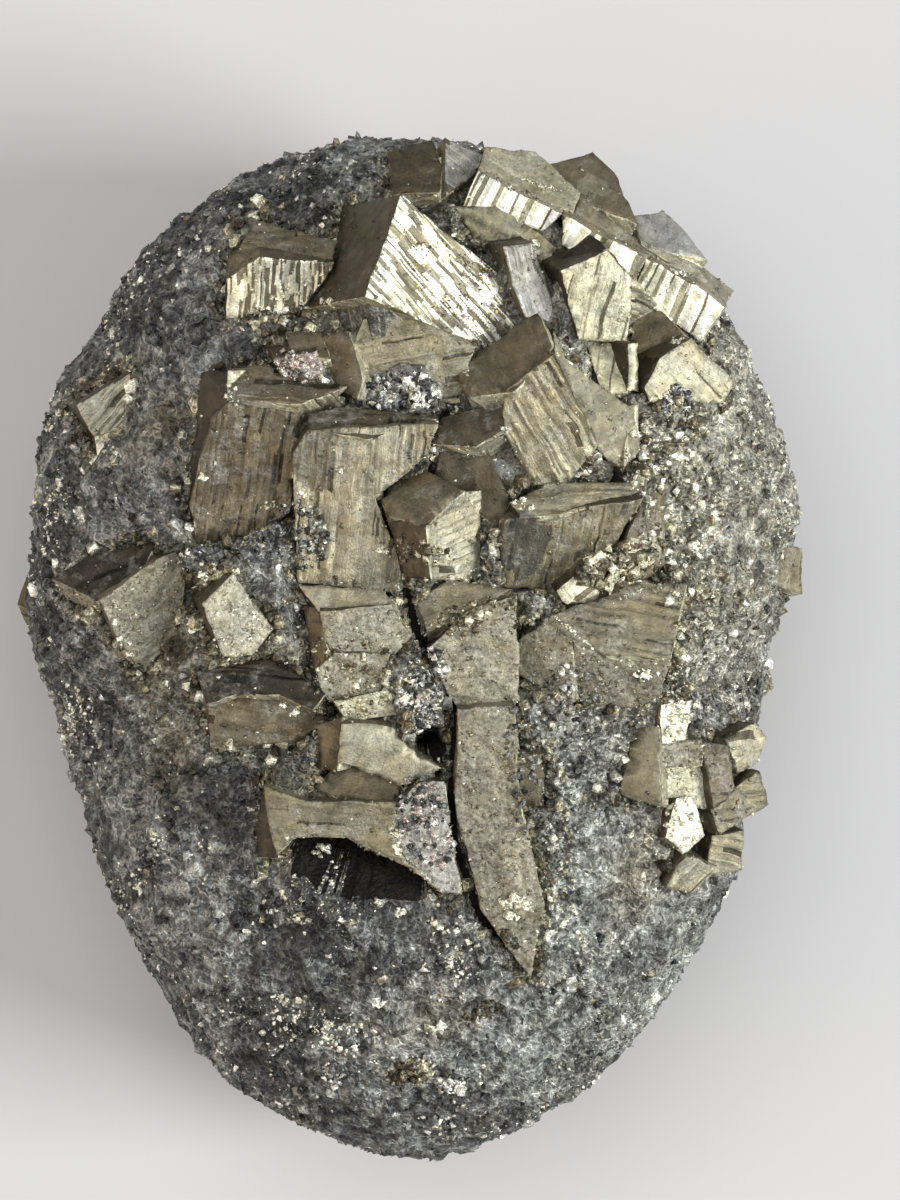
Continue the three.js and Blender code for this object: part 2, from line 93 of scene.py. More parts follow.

# The crystals' facets.
FLAT = 0.9995  # cosine between the normals of two triangles of one facet
ROUND = 0.98  # cosine past which facets that meet have no edge between them
EDGE_STEP = 0.16  # spacing of the points along a crystal's edges
MARGIN = 0.05  # distance kept between a crystal's edges and the points inside its facets
TOUCHING = 1e-7  # distance within which two points in a facet's plane are one
ACROSS_ONLY = 0.1  # length along a facet under which a direction in plan points nearly straight out of it
STEP_WIDTH = 0.03  # width in plan of the step between two striations
WAVE_LENGTH = 1.8  # spacing of the bends of wavering striations
DARKENED = 0.28  # share of its tone that a dark striation keeps
STREAK_SHEETS = 97  # how many sheets of fine streaks there are, of which each facet takes one
WEAR = 0.09  # how far a crystal's edges are worn back
DEEP = 1.0  # depth under the skin past which a crystal is left plain
DEEPER = 0.5  # how much deeper its points are left where they are
CRUST_GRAINS = 14000  # how many grains lie on the facets
DULL_SHARE = 0.93  # share of them that takes the tone of the facet, where the rest is painted white as glints

# Small crystals.
SHORTEST = 0.45  # least length of a side, as a share of the greatest
TAPER = 0.5  # how far the upper end is narrowed at most
SKEW = 0.12  # how far the corners are moved about, as a share of the size
SHADING = 0.25  # how far the tones of their faces differ

# What the nodule is seen from and on.
SKY = 100  # a height above everything
CAMERA_PLACE = (2.79, 3.32, 315)
FOCAL_LENGTH = 143.9
FLOOR_SIZE = 1400

# ---- Tones ----


def linear(red, green, blue):
    """A colour of 0 to 255 as the light that it stands for."""
    return tuple(((c / 255 + 0.055) / 1.055) ** 2.4 for c in (red, green, blue))


TONES = {
    name: linear(*levels)
    for name, levels in {
        "white": (250, 250, 226),
        "cream": (216, 213, 190),
        "silver": (212, 212, 205),
        "sand": (190, 187, 161),
        "tan": (170, 166, 144),
        "khaki": (149, 144, 122),
        "olive": (127, 121, 100),
        "brown": (107, 99, 80),
        "umber": (78, 71, 56),
        "black": (54, 49, 40),
        "grey": (158, 157, 151),
        "slate": (104, 107, 108),
        "pink": (178, 165, 158),
        "violet": (152, 118, 146),
        "gold": (224, 206, 120),
        "lead": (147, 150, 147),
        "soot": (66, 68, 68),
    }.items()
}


class Style(NamedTuple):
    """How a facet has grown."""

    widths: tuple  # the least and the greatest width of its striations
    run: float  # how long they run unbroken
    step: float  # how far they step up or down
    tilt: float  # how far they are tilted, as a slope
    waver: float  # how far they waver from side to side
    pitch: float  # the spacing of points along them
    rough: float  # the height of the facet's roughness
    stripes: float  # how far the tones of its striations differ
    dark: float  # the share of them that is dark
    polish: float  # how polished the facet is
    crust: float  # how thickly grains lie on it
    frost: float  # how much of it is frosted
    lines: float  # how plainly its finest lines show


STYLES = {
    "ribbed": Style(
        widths=(0.08, 0.28), run=1.3, step=0.06, tilt=0.4, waver=0.05, pitch=0.2, rough=0.02,
        stripes=0.25, dark=0.46, polish=0.55, crust=0.4, frost=0.0, lines=1.0,
    ),
    "banded": Style(
        widths=(0.14, 0.5), run=9, step=0.05, tilt=0.3, waver=0.04, pitch=0.2, rough=0.02,
        stripes=0.3, dark=0.3, polish=0.55, crust=0.2, frost=0.0, lines=0.5,
    ),
    "striated": Style(
        widths=(0.10, 0.4), run=1.8, step=0.05, tilt=0.3, waver=0.12, pitch=0.2, rough=0.03,
        stripes=0.2, dark=0.06, polish=0.5, crust=0.5, frost=0.35, lines=1.0,
    ),
    "lined": Style(
        widths=(0.13, 0.6), run=2.6, step=0.03, tilt=0.14, waver=0.14, pitch=0.22, rough=0.05,
        stripes=0.08, dark=0.03, polish=0.45, crust=0.5, frost=0.35, lines=0.45,
    ),
    "smooth": Style(
        widths=(0.4, 1.4), run=6, step=0.01, tilt=0.04, waver=0.1, pitch=0.28, rough=0.03,
        stripes=0.04, dark=0, polish=0.5, crust=0.12, frost=0.0, lines=0.08,
    ),
    "matt": Style(
        widths=(0.3, 1.2), run=6, step=0.01, tilt=0.05, waver=0.1, pitch=0.25, rough=0.04,
        stripes=0.06, dark=0, polish=0.05, crust=0.6, frost=0.3, lines=0.2,
    ),
    "granular": Style(
        widths=(0.13, 0.3), run=0.5, step=0.01, tilt=0.04, waver=0.1, pitch=0.17, rough=0.17,
        stripes=0.02, dark=0, polish=0.35, crust=2, frost=0.9, lines=0.12,
    ),
    "stepped": Style(
        widths=(0.3, 1.1), run=2, step=0.2, tilt=0.2, waver=0.1, pitch=0.2, rough=0.05,
        stripes=0.2, dark=0.12, polish=0.5, crust=0.6, frost=0.4, lines=0.5,
    ),
}

# The looks of the crystals' facets, seen from above: a place on the facet in plan, its tone, how it has grown
# and the direction of its striations in plan, in degrees from +X.
# Each tone is partly the facet's own colour and partly painted light and shade: paler where the facet catches
# the window light, darker where it faces away.
LOOKS = {
    "right_crystal_cluster": [
        (3.4, 21.7, "white", "ribbed", -38),
        (0.9, 29.3, "umber", "smooth", 60),
        (3.5, 29.4, "grey", "lined", -30),
        (7.6, 29.0, "tan", "lined", -26),
        (11.6, 28.9, "brown", "smooth", -26),
        (12.3, 26.0, "olive", "lined", -26),
        (16.6, 23.5, "tan", "lined", -26),
        (16.0, 26.0, "grey", "smooth", -26),
        (6.5, 27.0, "white", "banded", 64),
        (12.5, 24.4, "white", "banded", 64),
        (16.7, 21.6, "white", "banded", 64),
        (6.2, 25.3, "khaki", "smooth", -30),
        (7.7, 22.1, "grey", "striated", -68),
        (10.7, 24.0, "black", "smooth", 30),
        (11.8, 21.4, "sand", "striated", 80),
        (15.0, 19.3, "brown", "smooth", 0),
        (12.4, 17.3, "sand", "lined", 80),
        (13.8, 17.1, "sand", "smooth", 90),
        (16.8, 16.6, "tan", "lined", -40),
        (5.8, 17.4, "brown", "smooth", 30),
        (8.4, 13.3, "khaki", "striated", -62),
        (13.7, 13.4, "khaki", "matt", -70),
        (4.0, 13.6, "umber", "smooth", 15),
        (6.1, 11.7, "lead", "granular", 0),
        (4.6, 11.0, "umber", "smooth", 0),
        (3.3, 7.0, "tan", "lined", 8),
        (0.9, 9.4, "brown", "smooth", 30),
        (0.2, 6.3, "umber", "smooth", 70),
        (10.0, 9.5, "khaki", "lined", 4),
        (9.0, 6.5, "olive", "striated", 80),
        (14.8, 8.0, "brown", "lined", 85),
        (10.4, 4.5, "cream", "stepped", 40),
        (12.0, 4.2, "black", "smooth", 0),
        (13.1, 4.1, "white", "stepped", 0),
        (13.5, 2.3, "olive", "lined", -8),
        (12.8, -1.3, "olive", "granular", 0),
        (8.5, 0.0, "olive", "granular", 80),
        (4.6, -0.3, "khaki", "granular", 0),
        (3.0, 3.3, "olive", "lined", 20),
        (0.7, 18.6, "khaki", "lined", 10),
        (0.0, 15.7, "soot", "granular", 0),
        (-3.6, 17.3, "brown", "smooth", 60),
        (-6.0, 17.1, "pink", "granular", 0),
        (-5.8, 18.8, "brown", "smooth", 0),
        (5.5, -9.0, "olive", "granular", -85),
        (7.6, -7.3, "umber", "smooth", 0),
    ],
    "tall_crystals": [
        (-9.6, 10.8, "brown", "striated", 82),
        (-12.2, 14.0, "black", "smooth", 80),
        (-8.0, 16.0, "brown", "lined", -4),
        (-2.9, 14.0, "umber", "lined", -4),
        (-3.0, 8.5, "khaki", "striated", 85),
    ],
    "left_crystal_cluster": [
        (-3.2, 3.5, "tan", "smooth", -8),
        (-2.0, 1.5, "khaki", "granular", 0),
        (-5.2, 1.2, "brown", "smooth", 80),
        (-3.2, -1.2, "khaki", "granular", 0),
        (-2.1, -3.0, "sand", "granular", 0),
        (-9.0, -1.6, "black", "lined", -6),
        (-9.0, -4.2, "brown", "lined", -6),
        (-4.4, -5.3, "brown", "smooth", 80),
        (-1.2, -6.0, "tan", "smooth", -20),
        (-2.8, -7.8, "brown", "smooth", -10),
        (-4.5, -10.0, "olive", "lined", -6),
        (-8.3, -10.0, "umber", "smooth", 80),
        (1.6, -10.5, "grey", "granular", 0),
    ],
    "pale_crystal": [(-9.9, 1.9, "tan", "granular", 40)],
    "left_crystal": [
        (-18.0, 5.1, "black", "lined", 20),
        (-15.3, 2.8, "khaki", "granular", 30),
    ],
    "left_rim_crystal": [
        (-18.0, 14.8, "tan", "striated", 50),
        (-17.9, 12.3, "white", "striated", 50),
    ],
    "upper_left_crystal": [
        (-7.0, 24.3, "brown", "lined", 0),
        (-7.0, 21.8, "cream", "ribbed", 88),
    ],
    "right_edge_crystals": [
        (14.3, -6.5, "olive", "smooth", 80),
        (16.6, -6.0, "olive", "granular", 0),
        (19.0, -7.0, "brown", "lined", 0),
        (20.6, -5.6, "tan", "lined", 0),
        (20.3, -8.8, "olive", "striated", 0),
        (19.4, -12.0, "khaki", "striated", -20),
        (16.9, -10.0, "white", "smooth", -50),
        (16.3, -3.8, "white", "granular", -50),
        (17.2, -13.2, "khaki", "striated", 40),
        (16.6, -8.0, "sand", "granular", 0),
    ],
    "right_nub": [(23.2, 5.3, "olive", "lined", 80)],
}

# The hollows in the matrix, painted near black as shade: the middle in plan, the half-lengths, the turn in
# degrees and the floor's height.
HOLLOWS = [
    (-2.7, -12.3, 4.9, 1.4, -14, 26.5),
    (1.7, -5.3, 0.9, 0.8, 0, 27.6),
]

# The cracks between the crystals, painted near black as shade, as runs of places in plan.
CRACKS = [
    [(0.2, 3.9), (0.9, 1.1), (1.7, -0.1), (3.0, -2.3), (3.3, -3.8), (2.9, -6.3), (3.0, -10.8)]
    + [(4.6, -15.5), (7.2, -18.3)],
    [(2.6, 14.5), (1.4, 12.5), (-1.1, 10.2), (-1.3, 9.0), (-0.6, 6.8)],
]

# Mixes of tones that small crystals take, with the share of each; "own" is the tone of what they lie on.
MIXES = {
    "matrix": {"own": 0.78, "silver": 0.06, "white": 0.03, "khaki": 0.06, "soot": 0.07},
    "contact": {
        "own": 0.3, "umber": 0.1, "brown": 0.12, "olive": 0.13, "khaki": 0.15, "sand": 0.12, "white": 0.08,
    },
    "druse": {"white": 0.12, "silver": 0.18, "lead": 0.25, "soot": 0.25, "khaki": 0.1, "own": 0.1},
    "crust": {"white": 0.05, "silver": 0.1, "lead": 0.35, "soot": 0.35, "brown": 0.15},
    "pink": {"pink": 0.45, "silver": 0.2, "white": 0.15, "brown": 0.2},
    "brassy": {"sand": 0.25, "khaki": 0.3, "brown": 0.2, "cream": 0.15, "umber": 0.1},
    # The white and cream of the bright mix are painted glints, on small crystals that are also polished to
    # catch the lamps.
    "bright": {"white": 0.6, "cream": 0.4},
    "tarnish": {"violet": 0.35, "gold": 0.35, "brown": 0.3},
    "rosy": {"own": 0.4, "silver": 0.2, "soot": 0.15, "pink": 0.25},
    "dark": {"umber": 0.4, "black": 0.2, "slate": 0.2, "brown": 0.2},
    # The white and cream in the glitter mix are painted glints.
    "glitter": {"white": 0.14, "cream": 0.16, "khaki": 0.25, "olive": 0.15, "own": 0.3},
    "rusty": {"umber": 0.45, "brown": 0.35, "tan": 0.2},
    "pale": {"silver": 0.5, "own": 0.3, "white": 0.2},
}

# Patches of small crystals: the middle in plan, the half-lengths, the turn in degrees, the mix, how many
# there are and their sizes. The patches of the bright mix are painted glints, white and cream where
# highlights fall.
PATCHES = [
    (0.0, 15.7, 2.2, 1.2, 0, "druse", 360, (0.08, 0.34)),
    (-6.0, 17.2, 1.7, 0.9, -15, "pink", 170, (0.06, 0.25)),
    (1.1, -2.1, 1.4, 2.6, -15, "druse", 590, (0.06, 0.3)),
    (-6.2, 7.2, 1.8, 2.1, 20, "crust", 420, (0.05, 0.2)),
    (6.7, -14.9, 0.9, 0.7, 20, "bright", 26, (0.2, 0.42)),
    (-4.9, -11.7, 0.5, 0.4, 0, "bright", 9, (0.15, 0.32)),
    (12.6, 5.4, 2.3, 1.3, 15, "brassy", 200, (0.12, 0.5)),
    (14.6, 11.6, 1.5, 2.4, -10, "bright", 120, (0.06, 0.26)),
    (16.8, 8.0, 2.6, 7.5, 5, "glitter", 600, (0.06, 0.36)),
    (1.3, -9.8, 1.5, 2.8, 20, "rosy", 320, (0.06, 0.28)),
    (-0.3, -10.9, 0.35, 0.9, 18, "bright", 16, (0.12, 0.32)),
    (9.5, -6.0, 3.5, 6.0, 0, "matrix", 820, (0.06, 0.3)),
    (3.4, 21.9, 3.6, 2.1, -38, "tarnish", 370, (0.04, 0.1)),
    (8.6, 28.3, 1.7, 0.12, -17, "bright", 34, (0.05, 0.13)),
    (16.9, 23.1, 0.9, 0.2, -12, "bright", 16, (0.06, 0.18)),
    (7.9, 24.5, 0.25, 0.5, 20, "bright", 11, (0.08, 0.2)),
    (16.6, 19.0, 0.6, 0.25, 20, "bright", 14, (0.08, 0.2)),
    (3.8, 16.8, 0.2, 0.2, 0, "bright", 5, (0.12, 0.2)),
    (-10.1, 15.4, 0.4, 0.7, 20, "bright", 14, (0.08, 0.25)),
    (-11.8, 10.7, 0.2, 0.2, 0, "bright", 4, (0.12, 0.22)),
    (-8.0, 9.0, 0.5, 0.5, 0, "bright", 12, (0.08, 0.2)),
    (-3.7, 11.0, 0.3, 0.2, 0, "bright", 8, (0.08, 0.18)),
    (1.6, 12.0, 0.5, 0.4, 0, "brassy", 16, (0.1, 0.3)),
    (6.1, 13.4, 0.25, 0.2, 0, "bright", 6, (0.1, 0.2)),
    (7.0, 9.0, 0.9, 0.4, -10, "bright", 24, (0.06, 0.22)),
    (4.3, 4.9, 0.4, 0.3, 0, "bright", 10, (0.08, 0.2)),
    (-4.9, -1.3, 0.5, 0.4, 0, "bright", 16, (0.08, 0.24)),
    (-6.8, -3.1, 0.8, 0.35, -35, "bright", 14, (0.08, 0.24)),
    (16.4, 14.9, 1.0, 1.2, 0, "crust", 170, (0.08, 0.28)),
    (16.9, -10.0, 1.2, 1.8, 0, "bright", 70, (0.06, 0.26)),
    (16.3, -3.8, 1.0, 1.3, 0, "bright", 60, (0.06, 0.26)),
    (9.2, -9.0, 6.5, 0.6, -83, "brassy", 90, (0.08, 0.3)),
    (6.2, -16.7, 0.9, 0.35, -35, "dark", 37, (0.1, 0.3)),
    (-1.5, -20.7, 0.4, 0.3, 20, "bright", 7, (0.2, 0.4)),
    (1.8, -22.2, 1.0, 0.4, 15, "bright", 9, (0.12, 0.42)),
    (2.4, -28.4, 0.6, 0.4, 0, "bright", 14, (0.12, 0.36)),
    (-7.2, -21.6, 0.8, 1.4, 20, "bright", 39, (0.07, 0.22)),
    (-4.1, -22.9, 1.8, 0.8, -35, "bright", 49, (0.07, 0.25)),
    (-0.2, -15.2, 0.4, 0.3, 0, "bright", 7, (0.12, 0.32)),
    (2.0, -16.0, 0.7, 0.15, -40, "bright", 12, (0.1, 0.22)),
    (0.2, -25.1, 1.3, 0.8, 0, "rusty", 140, (0.08, 0.3)),
    (1.3, -24.7, 0.5, 0.7, 0, "brassy", 40, (0.08, 0.3)),
    (2.9, -25.9, 0.9, 0.7, 0, "pale", 70, (0.08, 0.3)),
    (-4.3, -25.3, 0.7, 0.8, 0, "pale", 60, (0.08, 0.3)),
    (-16.9, 1.2, 0.5, 1.9, 10, "bright", 14, (0.06, 0.22)),
    (-9.9, 1.6, 1.4, 1.8, -30, "bright", 70, (0.05, 0.18)),
    (-19.3, 8.6, 0.3, 0.6, 0, "bright", 5, (0.12, 0.25)),
    (-17.6, 12.0, 0.5, 1.0, 10, "bright", 24, (0.08, 0.26)),
    (-6.0, 9.5, 0.3, 0.3, 0, "bright", 8, (0.08, 0.2)),
    (4.8, -21.3, 1.3, 0.6, 30, "rusty", 58, (0.08, 0.25)),
    (-6.6, 21.0, 2.4, 1.2, 0, "bright", 47, (0.08, 0.3)),
    (0.5, 6.2, 2.6, 0.7, -10, "brassy", 68, (0.08, 0.3)),
    (5.0, 2.2, 3.4, 1.1, 5, "brassy", 130, (0.08, 0.34)),
    (-3.2, -1.0, 2.6, 3.0, 0, "brassy", 300, (0.05, 0.22)),
    (16.2, -1.3, 1.4, 0.16, 66, "bright", 55, (0.05, 0.16)),
    (14.2, -1.1, 0.5, 0.4, 0, "bright", 20, (0.08, 0.22)),
    (10.6, -1.2, 1.7, 0.12, 88, "brassy", 55, (0.05, 0.14)),
    (10.0, 1.5, 1.7, 0.1, -40, "bright", 55, (0.04, 0.1)),
    (13.4, 3.6, 1.9, 0.12, 22, "bright", 55, (0.04, 0.12)),
]

# Stains on the crystals: the middle in plan, the half-lengths, the turn in degrees, the tone and how strong
# it is.
STAINS = [
    (-5.3, 11.8, 1.3, 2.2, 0, "umber", 0.75),
    (-11.3, 13.0, 1.0, 3.6, 8, "umber", 0.6),
    (-10.4, 10.2, 1.8, 1.2, 0, "umber", 0.45),
    (7.1, 6.6, 1.4, 2.0, -10, "soot", 0.7),
    (9.4, 11.8, 2.4, 1.2, -15, "tan", 0.55),
    (11.2, 11.6, 1.4, 0.9, 0, "sand", 0.5),
    (-2.6, 6.2, 1.9, 0.8, 0, "tan", 0.5),
    (0.6, 20.2, 2.4, 0.8, -20, "olive", 0.5),
    (-16.6, 0.8, 1.3, 1.6, 20, "olive", 0.6),
    (-14.2, 4.6, 1.2, 0.7, 45, "sand", 0.5),
    (11.6, 28.6, 1.1, 0.8, 0, "khaki", 0.5),
    (5.2, -4.6, 1.2, 2.6, 0, "tan", 0.4),
    (7.0, -12.4, 1.0, 2.4, 10, "tan", 0.45),
    (14.6, 6.6, 2.6, 0.7, 25, "sand", 0.5),
]


# ---- Noise ----


# The odd numbers that scramble a cell's place and a seed into a random number, and how far each round shifts.
PRIMES = (73856093, 19349663, 83492791)
SEED_PRIME = 2654435761
SCRAMBLES = ((15, 2246822519), (13, 3266489917))
LAST_SHIFT = 16
WORD = 0xFFFFFFFF


def hashed(cells, seed):
    """A random number, spread evenly from 0 to 1, for every row of whole numbers."""
    x, y, z = (cells[..., k].astype(np.int64) * PRIMES[k] for k in range(3))
    mixed = (x ^ y ^ z ^ (seed + 1) * SEED_PRIME) & WORD
    for shift, factor in SCRAMBLES:
        mixed = ((mixed ^ (mixed >> shift)) * factor) & WORD
    return (mixed ^ (mixed >> LAST_SHIFT)) / WORD


def corners_of(low, high):
    """The corners of a grid's cells, each as three whole numbers from low to high."""
    sides = range(low, high + 1)
    return np.array([(i, j, k) for i in sides for j in sides for k in sides])


def noise(points, spacing, seed=0):
    """Smooth noise from -1 to 1, with features about the spacing apart."""
    placed = points / spacing
    cell = np.floor(placed).astype(np.int64)
    part = placed - cell
    part = part * part * (3 - 2 * part)
    total = np.zeros(len(points))
    for offset in corners_of(0, 1):
        weight = np.prod(np.where(offset == 1, part, 1 - part), axis=1)
        total += weight * hashed(cell + offset, seed)
    return total * 2 - 1


def rugged(points, spacing, seed=0, octaves=3):
    """Noise with finer noise on it, from about -1 to 1."""
    return sum(noise(points, spacing / 2**k, seed + k) / 2**k for k in range(octaves)) / 1.6


def grains(points, spacing, seed=0):
    """Splits space into cells of about the spacing: the offset from the middle of each point's cell, and the
    cell's three random numbers from 0 to 1."""
    placed = points / spacing
    cell = np.floor(placed).astype(np.int64)
    best = np.full(len(points), np.inf)
    offset = np.zeros((len(points), 3))
    draws = np.zeros((len(points), 3))
    for move in corners_of(-1, 1):
        near = cell + move
        middle = near + np.stack([hashed(near, seed + k) for k in range(3)], axis=1)
        away = placed - middle
        distance = (away**2).sum(1)
        closer = distance < best
        best[closer] = distance[closer]
        offset[closer] = away[closer] * spacing
        draws[closer] = np.stack([hashed(near[closer], seed + 3 + k) for k in range(3)], axis=1)
    return offset, draws


# ---- Meshes ----


def unit(vectors):
    """The vectors at a length of 1."""
    lengths = np.linalg.norm(vectors, axis=-1, keepdims=True)
    return vectors / np.maximum(lengths, 1e-12)


def crosses(points, triangles):
    """The normal of each triangle, as long as twice its area."""
    corners = points[triangles]
    return np.cross(corners[:, 1] - corners[:, 0], corners[:, 2] - corners[:, 0])


def read(node):
    """A CAD node's points and triangles, with the points that lie together merged."""
    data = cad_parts[node].data
    data.calc_loop_triangles()
    points = np.empty(len(data.vertices) * 3)
    data.vertices.foreach_get("co", points)
    triangles = np.empty(len(data.loop_triangles) * 3, np.int32)
    data.loop_triangles.foreach_get("vertices", triangles)
    points = points.reshape(-1, 3) / MM
    _, first, merged = np.unique(np.round(points, 3), axis=0, return_index=True, return_inverse=True)
    triangles = merged.ravel()[triangles].reshape(-1, 3)
    whole = (np.diff(np.sort(triangles, axis=1), axis=1) > 0).all(1)
    return points[first], triangles[whole]


def tree_of(points, triangles):
    """A mesh as a tree that rays and distances are measured against."""
    return BVHTree.FromPolygons(points.tolist(), triangles.tolist())


def told_once(triangles, attributes):
    """The triangles and their attributes, without those that have the same corners as an earlier one."""
    first = np.sort(np.unique(np.sort(triangles, axis=1), axis=0, return_index=True)[1])
    count = len(triangles)
    kept = {}
    for key, values in attributes.items():
        rows = values.reshape(count, -1, *values.shape[1:])[first]
        kept[key] = rows.reshape(-1, *values.shape[1:])
    return triangles[first], kept


def piece(name, points, triangles, material, slot, replaced=(), **attributes):
    """A finished mesh as a piece of the nodule. Attributes with one row for each triangle or each triangle's
    corner are kept on its faces and corners."""
    triangles, attributes = told_once(triangles, attributes)
    mesh = bpy.data.meshes.new(name)
    mesh.vertices.add(len(points))
    mesh.vertices.foreach_set("co", (points * MM).astype(np.float32).ravel())
    mesh.loops.add(triangles.size)
    mesh.loops.foreach_set("vertex_index", triangles.astype(np.int32).ravel())
    mesh.polygons.add(len(triangles))
    mesh.polygons.foreach_set("loop_start", np.arange(0, triangles.size, 3, dtype=np.int32))
    for key, values in attributes.items():
        domain = "FACE" if len(values) == len(triangles) else "CORNER"
        if values.ndim == 1:
            kind, field = "FLOAT", "value"
        elif values.shape[1] == 4:
            kind, field = "FLOAT_COLOR", "color"
        else:
            kind, field = "FLOAT_VECTOR", "vector"
        layer = mesh.attributes.new(key, kind, domain)
        layer.data.foreach_set(field, values.astype(np.float32).ravel())
    mesh.update(calc_edges=True)
    mesh.validate()
    mesh.materials.append(material)
    made = bpy.data.objects.new(name, mesh)
    bpy.context.scene.collection.objects.link(made)
    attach(made, "root")
    if replaced:
        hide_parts(*replaced)


# ---- The matrix's skin ----


def ball(splits):
    """The corners and triangles of an even ball of radius 1, with each edge of an icosahedron split."""
    golden = (1 + 5**0.5) / 2
    corners = np.array([(s, t * golden, 0) for s in (-1, 1) for t in (-1, 1)])
    corners = np.vstack([np.roll(corners, k, axis=1) for k in range(3)])
    numbers = range(len(corners))
    apart = np.linalg.norm(corners[:, None] - corners, axis=2)
    near = {(a, b) for a in numbers for b in numbers if np.isclose(apart[a, b], 2)}
    sides = [(a, b, c) for a, b in near for c in numbers if a < b < c and {(a, c), (b, c)} <= near]
    points, triangles = [], []
    for a, b, c in sides:
        if np.linalg.det(corners[[a, b, c]]) < 0:
            b, c = c, b
        index = {}
        for i in range(splits + 1):
            for j in range(splits + 1 - i):
                index[i, j] = len(points)
                points.append((corners[a] * (splits - i - j) + corners[b] * i + corners[c] * j) / splits)
        for i in range(splits):
            for j in range(splits - i):
                triangles.append((index[i, j], index[i + 1, j], index[i, j + 1]))
                if i + j < splits - 1:
                    triangles.append((index[i + 1, j], index[i + 1, j + 1], index[i, j + 1]))
    points = np.array(points)
    _, first, merged = np.unique(np.round(points, 6), axis=0, return_index=True, return_inverse=True)
    return unit(points[first]), merged.ravel()[np.array(triangles)]


def crowded(points, bias):
    """The points of a ball moved towards its top, so that triangles keep their shape."""
    pull = np.array([0, 0, -bias])
    away = points - pull
    return unit((1 - bias**2) * away / (away**2).sum(1, keepdims=True) - pull)


def hits(tree, starts, towards, furthest=1000):
    """How far each ray goes before it meets the tree, or infinity, and the normals where it does."""
    found = np.full(len(starts), np.inf)
    normals = np.zeros((len(starts), 3))
    for i, (start, way) in enumerate(zip(starts.tolist(), towards.tolist())):
        _, normal, _, distance = tree.ray_cast(start, way, furthest)
        if distance is not None:
            found[i] = distance
            normals[i] = normal
    return found, normals


def evened(values, edges, rounds, known=None):
    """The values evened out along the edges, except the known ones, which stay."""
    count = np.bincount(edges.ravel(), minlength=len(values))
    start = values
    for _ in range(rounds):
        total = np.bincount(edges[:, 0], values[edges[:, 1]], len(values))
        total += np.bincount(edges[:, 1], values[edges[:, 0]], len(values))
        values = total / count if known is None else np.where(known, start, total / count)
    return values


def widened(values, edges, rounds, choose):
    """The values with each one's highest or lowest neighbours taken over, round after round."""
    for _ in range(rounds):
        taken = values.copy()
        choose.at(taken, edges[:, 0], values[edges[:, 1]])
        choose.at(taken, edges[:, 1], values[edges[:, 0]])
        values = taken
    return values


def closed(values, edges, rounds):
    """The values with the gaps between high ones filled, if they are narrower than twice the rounds."""
    return widened(widened(values, edges, rounds, np.maximum), edges, rounds, np.minimum)


def banked(limits, edges):
    """The limits with those of each point's neighbours taken over, a bank's rise higher each round."""
    for _ in range(BANK_ROUNDS):
        taken = limits.copy()
        np.minimum.at(taken, edges[:, 0], limits[edges[:, 1]] + BANK)
        np.minimum.at(taken, edges[:, 1], limits[edges[:, 0]] + BANK)
        limits = taken
    return limits


def clear_of(spots, starts, ends, margin):
    """Which spots keep a margin from every edge."""
    along = ends - starts
    lengths = np.maximum((along**2).sum(1), 1e-12)
    share = np.clip(((spots[:, None] - starts) * along).sum(2) / lengths, 0, 1)
    away = spots[:, None] - starts - share[..., None] * along
    return ((away**2).sum(2) > margin**2).all(1)


def within(spots, x, y, length, width, turn):
    """Which spots lie in a turned ellipse in plan."""
    c, s = math.cos(math.radians(turn)), math.sin(math.radians(turn))
    along = ((spots[:, 0] - x) * c + (spots[:, 1] - y) * s) / length
    across = ((spots[:, 1] - y) * c - (spots[:, 0] - x) * s) / width
    return along**2 + across**2 < 1


def cracked(spots):
    """Which spots lie along a crack, seen from above."""
    split = np.full(len(spots), False)
    for run in CRACKS:
        split |= ~clear_of(spots[:, :2], np.array(run[:-1]), np.array(run[1:]), CRACK_WIDTH / 2)
    return split


def roughened(points):
    """How far the matrix's grains raise its skin at each point, and the three random numbers of its grain."""
    bent = points + 0.5 * np.stack([rugged(points, 0.8, seed=71 + k) for k in range(3)], axis=1)
    coarse, lot = grains(bent, COARSE_GRAIN, seed=21)
    fine, small = grains(bent, FINE_GRAIN, seed=22)
    raised = 0.75 * rugged(points, 4.2, seed=5) + 0.3 * noise(points, 1.3, seed=9)
    raised += 0.3 * (lot[:, 0] - 0.5) + ((lot - 0.5) * coarse).sum(1) * 0.8
    raised += 0.15 * (small[:, 0] - 0.5) + ((small - 0.5) * fine).sum(1) * 0.5
    return raised - 0.25, lot


